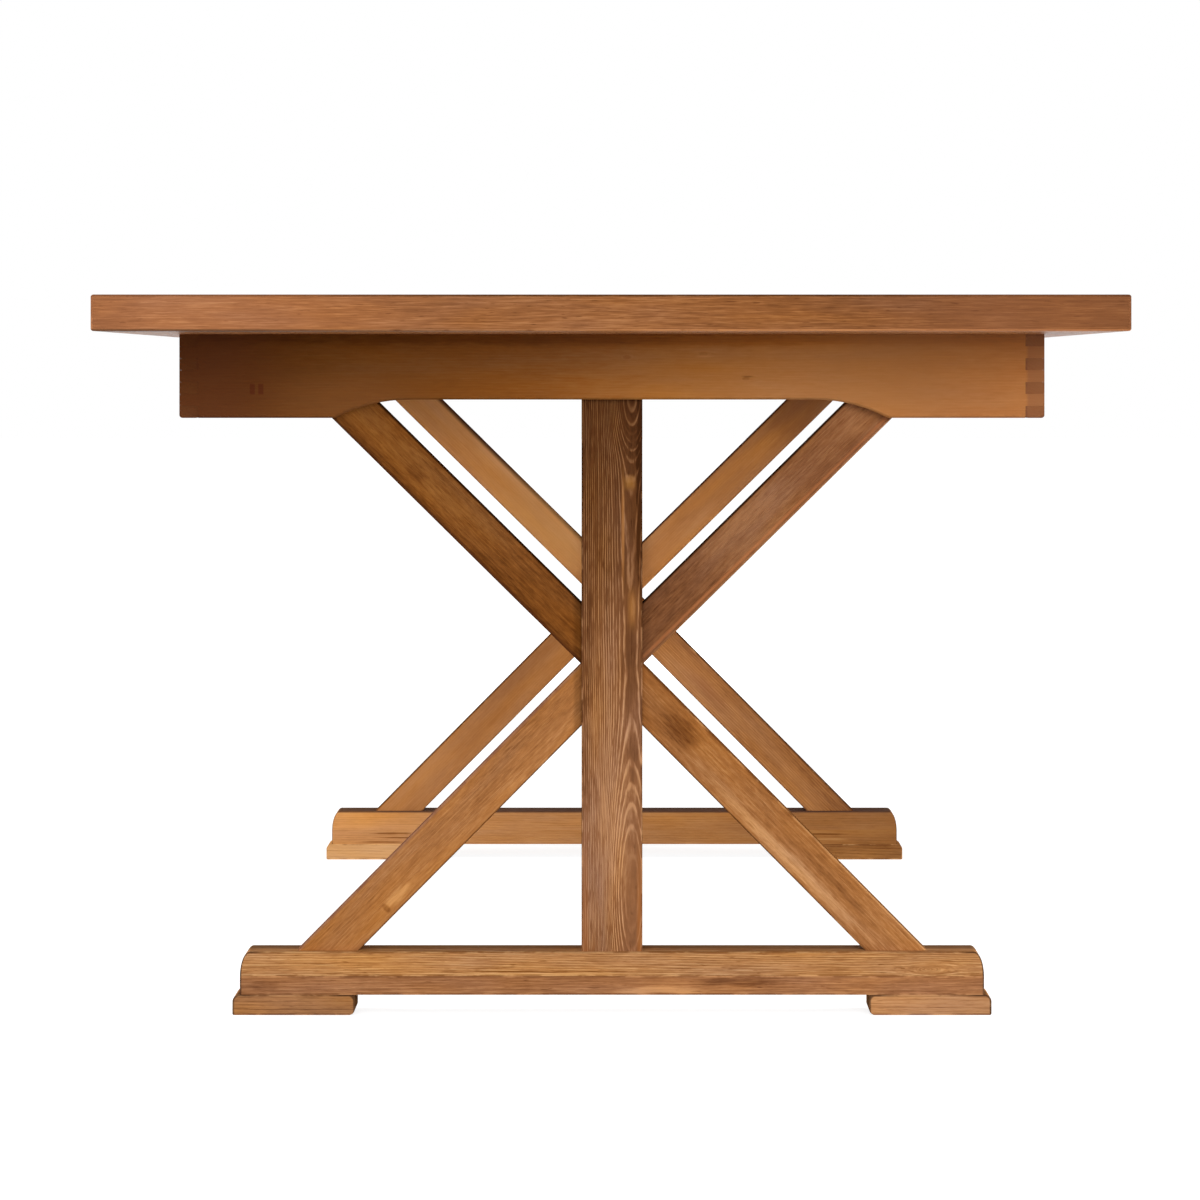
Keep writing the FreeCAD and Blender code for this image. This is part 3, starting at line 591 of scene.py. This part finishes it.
def dress_brace(name, look, **cut):
    """Dresses one half brace: its grain runs outwards from the middle of the X.

    The inner end is cut upright against the post, and the outer end level, so the middle of the
    brace isn't the middle of its box.
    """
    low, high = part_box(name)
    upper = "upper" in name
    slope = UPPER_BRACE_ANGLE if upper else LOWER_BRACE_ANGLE
    outwards = 1.0 if low.x + high.x > 0 else -1.0
    inner_x, outer_x = (low.x, high.x) if outwards > 0 else (high.x, low.x)
    outer_x -= outwards * BRACE_HALF_WIDTH / math.sin(slope)
    rise = BRACE_HALF_WIDTH / math.cos(slope)
    inner_z, outer_z = (low.z + rise, high.z) if upper else (high.z - rise, low.z)
    inner_end = Vector((inner_x, low.y, inner_z))
    outer_end = Vector((outer_x, high.y, outer_z))

    grain = Vector((outer_x - inner_x, 0.0, outer_z - inner_z)).normalized()
    width = ALONG_TABLE.cross(grain)
    if width.z < 0:
        width = -width
    axes = (grain, width, grain.cross(width))
    half_length = math.hypot(outer_x - inner_x, outer_z - inner_z) / 2 + BRACE_HALF_WIDTH
    half_size = (half_length, BRACE_HALF_WIDTH, (high.y - low.y) / 2)
    centre = (inner_end + outer_end) / 2
    set_material(name, pine_material("pine_" + name, look, centre, half_size, axes, cut))


# ======== Metal ========
def metal_material(name, colour, roughness, mottling):
    """Plated metal with a fine mottle and small scratches."""
    material = bpy.data.materials.new(name)
    material.use_nodes = True
    tree = material.node_tree
    tree.nodes.clear()
    graph = Graph(tree)
    place = graph.node("ShaderNodeTexCoord").outputs["Object"]
    mottle = graph.noise(place, (600.0, 600.0, 600.0), 3.0, 0.6)
    scratch = graph.noise(place, (200.0, 3000.0, 900.0))
    darker = tuple(channel * (1 - mottling) for channel in colour[:3]) + (1.0,)
    bump = graph.node("ShaderNodeBump", {"Height": scratch, "Distance": 0.00004, "Strength": 0.5})
    surface = graph.node(
        "ShaderNodeBsdfPrincipled",
        {
            "Base Color": graph.mix(mottle, darker, colour),
            "Metallic": 1.0,
            "Roughness": graph.math("ADD", graph.centred(scratch, 0.25), roughness),
            "Normal": bump.outputs["Normal"],
        },
    )
    output = graph.node("ShaderNodeOutputMaterial")
    tree.links.new(surface.outputs[0], output.inputs["Surface"])
    return material


# ======== Finishes ========
# narrow_faces is the level of painted shade on a finish's narrow faces
TOP = Look(
    (92, 52, 26), (144, 92, 54), (194, 136, 88),
    rings=0.12, fibres=0.82, mottle=0.16, outline=0.35, gloss=0.03, roughness=0.32,
)
APRON = Look(
    (124, 66, 30), (178, 110, 50), (208, 148, 90),
    rings=0.06, fibres=0.16, blotches=0.25, mottle=0.12, wear=0.0, end_grain=0.45, outline=0.35,
    relief=0.00006,
)
POST = Look(
    (88, 52, 28), (139, 91, 57), (200, 148, 104),
    rings=0.85, fibres=0.55, blotches=0.16, narrow_faces=0.8, outline=0.3,
)
LEFT_UPPER_BRACE = Look(
    (80, 42, 14), (134, 81, 36), (172, 114, 56),
    rings=0.12, fibres=0.35, blotches=0.5, mottle=0.5, narrow_faces=0.22,
)
RIGHT_UPPER_BRACE = Look(
    (88, 52, 30), (149, 98, 63), (184, 130, 88),
    rings=0.12, fibres=0.35, blotches=0.4, mottle=0.5, narrow_faces=0.22,
)
LEFT_LOWER_BRACE = Look(
    (116, 68, 32), (175, 116, 65), (210, 152, 96),
    rings=0.14, fibres=0.35, blotches=0.4, mottle=0.4, narrow_faces=0.4,
)
RIGHT_LOWER_BRACE = Look(
    (106, 60, 28), (165, 108, 60), (208, 152, 98),
    rings=0.14, fibres=0.35, blotches=0.4, mottle=0.4, narrow_faces=0.4,
)
FAR_BRACE = Look(
    (128, 76, 38), (178, 121, 71), (208, 154, 96),
    rings=0.08, fibres=0.1, blotches=0.45, narrow_faces=0.2, relief=0.00005,
)
FAR_LINED_BRACE = Look(
    (112, 64, 34), (184, 126, 74), (218, 164, 106),
    rings=0.2, fibres=0.25, blotches=0.5, narrow_faces=0.2, relief=0.00005,
)
FOOT_UPPER = Look(
    (132, 82, 42), (190, 134, 83), (226, 174, 118),
    rings=0.5, fibres=0.95, blotches=0.2, mottle=0.22, narrow_faces=0.76, outline=0.6, gloss=0.002,
)
FOOT_LOWER = Look(
    (112, 68, 40), (167, 112, 70), (206, 148, 98),
    rings=0.25, fibres=0.8, mottle=0.25, narrow_faces=0.5, outline=0.6,
)
FAR_FOOT = Look(
    (132, 82, 42), (186, 130, 80), (218, 164, 108),
    rings=-0.14, fibres=0.25, blotches=0.4, wear=0.0, narrow_faces=0.32, gloss=0.002, relief=0.0001,
)
FAR_PAD = Look(
    (110, 66, 34), (184, 130, 76), (218, 166, 108),
    rings=-0.14, fibres=0.25, mottle=0.1, outline=0.4,
)
PAD = Look(
    (96, 56, 34), (180, 126, 80), (216, 162, 112),
    rings=-0.2, fibres=0.55, mottle=0.2, narrow_faces=0.35, outline=0.9,
)
STRETCHER = Look(
    (96, 58, 32), (146, 96, 60), (192, 140, 94),
    rings=0.32, fibres=0.5, blotches=0.3, outline=0.3,
)
INNER = Look(
    (120, 76, 42), (172, 122, 76), (205, 158, 110),
    rings=0.3, fibres=0.6, wear=0.2,
)
DOWEL = Look(
    (150, 110, 70), (190, 150, 105), (214, 180, 138),
    rings=0.1, fibres=0.6, blotches=0.2, wear=0.1,
)


# ======== The boards ========
FOOT_CORNER = (0.011, 0.027)  # run and drop of the rounding at a foot's end
PAD_CORNER = (0.0072, 0.0072)
NO_CORNER = -1.0
POST_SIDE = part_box("near_post")[1].x
SIDE_APRON_END = (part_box("left_side_apron")[1].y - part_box("left_side_apron")[0].y) / 2


def dress_top():
    """The planks and the breadboard ends, each cut from its own place in a log."""
    for index, name in enumerate(sorted(name for name in nodes if name.startswith("top_plank"))):
        turn = 2.4 * index
        knots = ((0.55 * math.sin(turn + 1.0), 0.035 * math.sin(2 * turn), 0.009, 1.5, 0.8),)
        dress_board(
            name,
            TOP,
            ALONG_TABLE,
            ACROSS_TABLE,
            pith=(0.03 * math.sin(turn), -0.05 - 0.02 * math.cos(turn)),
            tilt=(0.004, 0.018 * math.cos(turn)),
            seed=7.0 + index,
            ring_width=0.0036,
            knots=knots if index % 2 else (),
        )
    low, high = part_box("near_breadboard")
    end_face = (low.y - high.y) / 2
    # With the near board's fade, these paint the end face lighter at the left and darker at the right:
    # partly uneven stain, partly painted light from the left.
    copper = (
        (-0.440, end_face, 0.190, 0.008, 0.8, (176, 114, 80), 0.28),
        (0.420, end_face, 0.120, 0.008, 0.8, (140, 88, 58), 0.40),
    )
    boards = (("near_breadboard", 3.0, (1.24, 0.70), copper), ("far_breadboard", 5.0, (1.0, 1.0), ()))
    for name, seed, fade, stains in boards:
        dress_board(
            name,
            TOP,
            ACROSS_TABLE,
            ALONG_TABLE,
            pith=(0.05, -0.09),
            tilt=(0.008, 0.004),
            seed=seed,
            fade=fade,
            wear_side=(0.0, 0.0, -0.2),
            outline_side=(0.0, 0.0, 0.4),
            underside=(0.45, 1.8),
            blemishes=((-0.500, 0.0, 0.050, 0.2, -0.15),),
            stains=stains,
        )


def dress_aprons():
    """The four apron boards, smooth and satin."""
    dress_board(
        "near_end_apron",
        APRON,
        ACROSS_TABLE,
        UP,
        pith=(-0.06, 0.02),
        seed=11.0,
        # darker at the left end and lighter at the right, with the patches at -0.45 and 0.40 below:
        # partly uneven stain, partly painted light and shade
        fade=(0.33, 1.52),
        fade_depth=0.0,
        blemishes=(
            (0.20, 0.000, 0.26, 0.060, 0.22),
            # painted shadow along the top edge, under the table top's overhang
            (0.00, 0.044, 0.60, 0.013, -0.35),
        ),
        stains=(
            (-0.3818, -0.0138, 0.0027, 0.0055, 0.2, (88, 26, 10), 0.6),
            (-0.3728, -0.0138, 0.0027, 0.0055, 0.2, (88, 26, 10), 0.6),
            (0.0980, 0.0212, 0.0060, 0.0012, 0.8, (214, 150, 90), 0.6),
            (0.1420, -0.0048, 0.0055, 0.0010, 0.8, (208, 144, 88), 0.5),
            (0.1440, -0.0006, 0.0045, 0.0008, 0.8, (96, 54, 24), 0.5),
            (-0.4500, 0.0000, 0.0900, 0.0800, 0.7, (112, 62, 42), 0.5),
            (0.4000, 0.0000, 0.1500, 0.0800, 0.6, (174, 120, 80), 0.5),
            (0.4530, 0.0000, 0.0120, 0.0800, 0.2, (160, 106, 74), 0.6),
            (-0.2830, -0.0240, 0.0600, 0.0240, 0.8, (158, 102, 60), 0.30),
            (0.2830, -0.0040, 0.0600, 0.0500, 0.8, (196, 136, 78), 0.30),
        ),
        knots=(
            (0.016, 0.0200, 0.0022, 2.0, 0.4),
            (0.097, 0.0235, 0.0022, 2.2, 0.3),
            (0.142, -0.0030, 0.0020, 2.0, 0.4),
        ),
    )
    dress_board("far_end_apron", APRON, ACROSS_TABLE, UP, pith=(0.06, -0.02), seed=12.0)
    # The left corner's fingers are darker and the right's lighter, following the near apron's change
    # from left to right: partly uneven stain, partly painted light and shade.
    fingers = ((-SIDE_APRON_END, 0.0, 0.0080, 0.1, 0.2, (150, 100, 76), 0.55),)
    left_fingers = ((-SIDE_APRON_END, 0.0, 0.0080, 0.1, 0.2, (112, 62, 42), 0.45),)
    sides = (("left_side_apron", 13.0, 0.62, left_fingers), ("right_side_apron", 14.0, 1.6, fingers))
    for name, seed, end_grain, stains in sides:
        dress_board(
            name,
            APRON,
            ALONG_TABLE,
            UP,
            pith=(0.06, 0.01),
            seed=seed,
            fade=(0.55, 0.55),
            fade_depth=-0.5,
            end_grain=end_grain,
            stains=stains,
        )


def dress_near_trestle():
    """The trestle that the photograph shows in front."""
    dress_board(
        "near_post",
        POST,
        UP,
        ACROSS_TABLE,
        pith=(0.0205, 0.0015),
        tilt=(0.004, 0.020),
        wander=0.008,
        seed=21.0,
        ring_width=0.0020,
        # darker towards the top and lighter towards the bottom, with the lighter patch at -0.240: partly
        # uneven stain, partly painted shade under the table top's overhang
        fade=(1.30, 0.50),
        knots=((0.280, 0.0225, 0.0095, 2.4, 0.0), (-0.252, 0.0215, 0.0130, 5.0, 0.0)),
        blemishes=(
            (0.198, 0.019, 0.005, 0.006, 0.45),
            (0.150, 0.0120, 0.050, 0.0016, 0.35),
            (0.060, 0.0220, 0.018, 0.0030, 0.35),
            (0.194, 0.0300, 0.120, 0.0040, -0.45),
            (0.262, 0.0220, 0.040, 0.0120, -0.08),
            (0.120, 0.0240, 0.040, 0.0050, -0.12),
            (-0.101, 0.0224, 0.028, 0.0060, -0.30),
            (-0.085, 0.004, 0.170, 0.0320, 0.22),
            (-0.115, 0.023, 0.060, 0.0080, 0.05),
            (0.000, 0.0180, 0.050, 0.0100, -0.20),
            (-0.310, 0.0000, 0.040, 0.0400, -0.12),
            (0.100, -0.0280, 0.300, 0.0060, -0.12),
            (-0.240, 0.0000, 0.150, 0.0500, 0.12),
        ),
        outline_side=(0.3, 0.0, 0.0),
        stains=(
            (0.194, 0.0190, 0.0060, 0.0050, 0.8, (172, 118, 54), 0.6),
            (0.145, 0.0118, 0.0480, 0.0013, 0.8, (186, 124, 64), 0.6),
            (0.060, 0.0215, 0.0160, 0.0035, 0.9, (176, 118, 56), 0.5),
            (-0.285, 0.0292, 0.0700, 0.0024, 0.9, (172, 102, 44), 0.6),
            (-0.290, -0.0285, 0.0900, 0.0030, 0.9, (160, 96, 50), 0.5),
            (-0.190, 0.0220, 0.1000, 0.0085, 0.8, (146, 100, 68), 0.38),
            (0.290, 0.0220, 0.0500, 0.0085, 0.8, (100, 62, 38), 0.28),
        ),
    )
    dress_board(
        "near_foot_upper_board",
        FOOT_UPPER,
        ACROSS_TABLE,
        UP,
        pith=(-0.055, 0.02),
        tilt=(0.006, 0.010),
        seed=22.0,
        ring_width=0.0026,
        outline_side=(0.0, -0.45, 0.0),
        rim=FOOT_CORNER,
        # a painted shadow along the back edge of the foot's top
        back_line=0.036,
        knots=((0.338, -0.006, 0.0042, 3.2, 0.45),),
        blemishes=((-0.10, -0.0105, 0.11, 0.0014, 0.35), (-0.08, -0.0085, 0.13, 0.0010, -0.35)),
    )
    dress_board(
        "near_foot_lower_board",
        FOOT_LOWER,
        ACROSS_TABLE,
        UP,
        pith=(-0.06, 0.03),
        seed=23.0,
        fade=(0.96, 1.12),
        rim=(FOOT_CORNER[0], NO_CORNER),
        blemishes=(
            (0.050, -0.006, 0.045, 0.0060, 0.55),
            (0.052, -0.009, 0.022, 0.0020, -0.60),
            (0.138, 0.004, 0.052, 0.0060, -0.32),
            (-0.370, 0.000, 0.020, 0.0060, -0.25),
        ),
    )
    dress_brace(
        "near_left_upper_brace",
        LEFT_UPPER_BRACE,
        pith=(0.10, -0.02),
        seed=26.0,
        corner_stain=0.66,
        wear_bias=-0.2,
        outline_side=(0.0, 0.35, 0.0),
        blemishes=((0.0, -0.019, 0.5, 0.006, -0.20), (0.052, -0.003, 0.012, 0.008, -0.25)),
        stains=((0.0, -BRACE_HALF_WIDTH, 0.30, 0.0030, 0.7, (66, 32, 20), 0.6),),
    )
    dress_brace(
        "near_right_upper_brace",
        RIGHT_UPPER_BRACE,
        pith=(0.12, 0.02),
        seed=27.0,
        corner_stain=0.85,
        fade=(0.64, 1.08),
        outline_side=(0.0, 0.45, 0.0),
        # the patch at 0.140 is painted light on the upper end, where the apron's shadow falls
        blemishes=((-0.035, 0.0, 0.070, 0.030, 0.32), (0.140, 0.0, 0.030, 0.030, 0.20)),
        stains=((0.0, -0.0185, 0.30, 0.0015, 0.9, (196, 122, 74), 0.55),),
        wear_side=(0.0, -0.25, 0.0),
    )
    dress_brace(
        "near_left_lower_brace",
        LEFT_LOWER_BRACE,
        pith=(0.11, -0.02),
        seed=28.0,
        corner_stain=0.66,
        wear_side=(0.0, 0.1, 0.0),
        blemishes=((0.100, -0.011, 0.020, 0.006, 0.45), (0.1165, -0.0125, 0.0036, 0.006, -0.42)),
        stains=((0.0, BRACE_HALF_WIDTH, 0.30, 0.0020, 0.7, (122, 82, 68), 0.6),),
    )
    dress_brace(
        "near_right_lower_brace",
        RIGHT_LOWER_BRACE,
        pith=(-0.11, 0.02),
        seed=29.0,
        fade=(0.86, 1.16),
        fade_depth=1.5,
        wear_side=(0.2, 0.1, 0.0),
        blemishes=(
            (-0.137, 0.003, 0.030, 0.015, -0.36),
            (0.060, -0.013, 0.130, 0.007, 0.30),
            (0.095, 0.004, 0.070, 0.0045, -0.20),
            (0.000, -0.005, 0.045, 0.0040, -0.14),
        ),
    )


def dress_far_trestle():
    """The trestle behind."""
    dress_board("far_post", POST, UP, ACROSS_TABLE, pith=(-0.03, 0.01), seed=31.0)
    low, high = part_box("far_foot_upper_board")
    arris = (high.z - low.z) / 2
    dress_board(
        "far_foot_upper_board",
        FAR_FOOT,
        ACROSS_TABLE,
        UP,
        pith=(-0.05, 0.02),
        seed=32.0,
        fade=(1.15, 0.58),
        wear_bias=0.25,
        # painted shade: a dark line along the top edge, where the foot's upper face lies in the table
        # top's shadow
        stains=((0.0, arris, 0.50, 0.0020, 0.6, (84, 58, 48), 0.75),),
    )
    dress_board(
        "far_foot_lower_board",
        FAR_FOOT,
        ACROSS_TABLE,
        UP,
        pith=(-0.03, 0.01),
        seed=33.0,
        fade=(1.10, 0.55),
        wear_bias=0.25,
        blemishes=(
            (-0.315, 0.0050, 0.030, 0.0014, -0.50),
            (-0.300, -0.0010, 0.034, 0.0012, -0.45),
            (-0.325, -0.0070, 0.026, 0.0012, -0.40),
            (0.294, 0.0040, 0.032, 0.0014, -0.45),
            (0.300, -0.0030, 0.028, 0.0014, 0.40),
        ),
    )
    # The upper braces' fades, and the light patch near the left one's lower end, make them lighter
    # towards the lower end: painted shade from the table top above their upper ends.
    tones = {
        "left_upper": (0.13, (1.22, 1.0)),
        "right_upper": (-0.02, (1.06, 0.9)),
        "left_lower": (-0.08, (1.0, 1.0)),
        "right_lower": (-0.15, (1.0, 0.85)),
    }
    # The first entry of each upper brace is a dark line along its upper edge: painted shade, as that
    # edge lies in the table top's shadow.
    stains = {
        "left_upper": (
            (0.0, BRACE_HALF_WIDTH, 0.30, 0.0046, 0.6, (64, 34, 24), 0.85),
            (-0.13, 0.0, 0.09, 0.030, 0.8, (192, 142, 84), 0.45),
        ),
        "right_upper": (
            (0.0, BRACE_HALF_WIDTH, 0.30, 0.0022, 0.6, (64, 34, 24), 0.7),
            # painted shadow at the upper end, under the table top
            (0.160, 0.0, 0.06, 0.030, 0.8, (122, 76, 52), 0.4),
        ),
        "right_lower": ((-0.055, -0.002, 0.030, 0.008, 0.9, (140, 82, 46), 0.4),),
    }
    for index, (name, (tone, fade)) in enumerate(tones.items()):
        dress_brace(
            "far_%s_brace" % name,
            FAR_LINED_BRACE if name == "right_lower" else FAR_BRACE,
            pith=(0.1, 0.01),
            seed=35.0 + index,
            tone=tone,
            fade=fade,
            wear_bias=-0.1,
            # painted shade: the upper arris is outlined darker, as it lies in the table top's shadow
            outline_side=(0.0, 0.4, 0.0),
            # painted shadow on the right upper brace's upper end, under the table top
            blemishes=((0.125, 0.0, 0.060, 0.030, -0.20),) if name == "right_upper" else (),
            stains=stains.get(name, ()),
        )


def dress_pads():
    """The four pads under the feet."""
    tones = {
        "near_left_pad": (-0.12, (1.10, 0.82)),
        "near_right_pad": (0.12, (1.18, 1.0)),
        "far_left_pad": (0.20, (1.06, 1.06)),
        "far_right_pad": (-0.34, (1.0, 1.0)),
    }
    for index, (name, (tone, fade)) in enumerate(tones.items()):
        cut = dict(pith=(-0.05, -0.02), seed=61.0 + index, tone=tone, fade=fade)
        if name.startswith("near"):
            dress_board(name, PAD, ACROSS_TABLE, UP, rim=PAD_CORNER, **cut)
        else:
            dress_board(name, FAR_PAD, ACROSS_TABLE, UP, **cut)


def dress_inside():
    """The stretcher, bearers, battens, glue blocks, dowels and pegs."""
    dress_board("stretcher", STRETCHER, ALONG_TABLE, UP, pith=(0.01, 0.05), seed=41.0)
    for index, end in enumerate(("near", "far")):
        dress_board(end + "_bearer", INNER, ACROSS_TABLE, UP, seed=43.0 + index)
        for offset, side in enumerate(("left", "right")):
            block = "%s_%s_corner_block" % (end, side)
            dress_board(block, INNER, UP, ACROSS_TABLE, seed=45.0 + 2 * index + offset)
        dress_board(end + "_brace_dowels", DOWEL, ACROSS_TABLE, UP, seed=51.0 + index)
    for index in (1, 2):
        dress_board("top_batten_%d" % index, INNER, ACROSS_TABLE, ALONG_TABLE, seed=48.0 + index)
    dress_board("breadboard_pegs", DOWEL, UP, ACROSS_TABLE, seed=53.0)


def dress_metal():
    """Zinc-plated steel fasteners and brass inserts."""
    steel = metal_material("zinc_steel", shade(196, 196, 192), 0.36, 0.25)
    brass = metal_material("insert_brass", shade(206, 172, 98), 0.34, 0.3)
    for name in (
        "top_bolts",
        "bolt_washers",
        "top_clips",
        "clip_screws",
        "batten_screws",
        "pad_screws",
        "bearer_screws",
    ):
        set_material(name, steel)
    set_material("threaded_inserts", brass)


# ======== Floor, light and camera ========
def seen_directly(graph):
    """1 for the rays that show the background: straight to the camera, in gloss or through glass."""
    rays = graph.node("ShaderNodeLightPath").outputs
    seen = graph.math("ADD", rays["Is Camera Ray"], rays["Is Glossy Ray"], clamp=True)
    return graph.math("ADD", seen, rays["Is Transmission Ray"], clamp=True)


def floor():
    """A pale floor that reads white, with the object's shadow on it."""
    mesh = bpy.data.meshes.new("floor")
    reach = 30.0
    corners = [(-reach, -reach, 0.0), (reach, -reach, 0.0), (reach, reach, 0.0), (-reach, reach, 0.0)]
    mesh.from_pydata(corners, [], [(0, 1, 2, 3)])
    plane = bpy.data.objects.new("floor", mesh)
    bpy.context.scene.collection.objects.link(plane)
    material = bpy.data.materials.new("floor")
    material.use_nodes = True
    tree = material.node_tree
    tree.nodes.clear()
    graph = Graph(tree)
    speckle = graph.noise(graph.node("ShaderNodeTexCoord").outputs["Object"], (4.0, 4.0, 4.0), 4.0)
    paint = graph.mix(speckle, (0.40, 0.40, 0.40, 1.0), (0.46, 0.46, 0.46, 1.0))
    diffuse = graph.node("ShaderNodeBsdfDiffuse", {"Color": paint})
    distance = graph.vector("LENGTH", graph.node("ShaderNodeTexCoord").outputs["Object"])
    strength = graph.math("MULTIPLY", seen_directly(graph), graph.smooth(distance, 1.5, 5.0, 0.8, 1.0))
    glow = graph.node("ShaderNodeEmission", {"Color": (1.0, 1.0, 1.0, 1.0), "Strength": strength})
    both = graph.node("ShaderNodeAddShader", {0: diffuse.outputs[0], 1: glow.outputs[0]})
    output = graph.node("ShaderNodeOutputMaterial")
    tree.links.new(both.outputs[0], output.inputs["Surface"])
    mesh.materials.append(material)


def world(strength):
    """Even white light all round, which shows as plain white."""
    made = bpy.data.worlds.new("studio")
    bpy.context.scene.world = made
    made.use_nodes = True
    tree = made.node_tree
    tree.nodes.clear()
    graph = Graph(tree)
    level = graph.math("ADD", graph.math("MULTIPLY", seen_directly(graph), 1.0 - strength), strength)
    glow = graph.node("ShaderNodeBackground", {"Color": (1.0, 1.0, 1.0, 1.0), "Strength": level})
    output = graph.node("ShaderNodeOutputWorld")
    tree.links.new(glow.outputs[0], output.inputs["Surface"])


def softbox(name, place, target, width, height, power, mirrored=False):
    """A rectangular area lamp that looks at a point; the polished top may mirror it."""
    lamp = bpy.data.lights.new(name, "AREA")
    lamp.shape = "RECTANGLE"
    lamp.size = width
    lamp.size_y = height
    lamp.energy = power
    obj = bpy.data.objects.new(name, lamp)
    bpy.context.scene.collection.objects.link(obj)
    obj.location = place
    obj.visible_glossy = mirrored
    obj.rotation_euler = (Vector(target) - Vector(place)).to_track_quat("-Z", "Y").to_euler()


def camera():
    """The level camera whose shift puts its axis where the view has it."""
    data = bpy.data.cameras.new("camera")
    data.sensor_width = SENSOR_WIDTH
    data.lens = FOCAL_PIXELS / IMAGE_SIZE * SENSOR_WIDTH
    data.shift_x = 0.5 - AXIS_PIXEL[0] / IMAGE_SIZE
    data.shift_y = AXIS_PIXEL[1] / IMAGE_SIZE - 0.5
    obj = bpy.data.objects.new("camera", data)
    bpy.context.scene.collection.objects.link(obj)
    obj.location = CAMERA_PLACE
    obj.rotation_euler = (math.pi / 2, 0.0, 0.0)
    bpy.context.scene.camera = obj


dress_top()
dress_aprons()
dress_near_trestle()
dress_far_trestle()
dress_pads()
dress_inside()
dress_metal()
floor()
world(0.28)
softbox("key", (-1.2, -4.0, 2.9), (0.0, -0.6, 0.4), width=2.6, height=2.0, power=72.0)
softbox("low_front", (1.1, -4.3, 1.3), (0.0, -0.6, 0.5), width=2.8, height=1.0, power=80.0)
softbox("left_side", (-2.6, -0.25, 0.7), (0.0, 0.1, 0.4), width=0.7, height=1.0, power=60.0)
softbox("right_side", (2.6, -0.25, 0.7), (0.0, 0.1, 0.4), width=0.7, height=1.0, power=60.0)
softbox("back", (0.8, 5.0, 1.3), (0.0, 0.6, 0.45), width=3.0, height=1.8, power=96.0)
softbox("overhead", (0.0, 0.4, 3.8), (0.0, 0.4, 0.8), width=2.0, height=2.0, power=30.0, mirrored=True)
camera()
bpy.context.scene.view_settings.view_transform = "Standard"
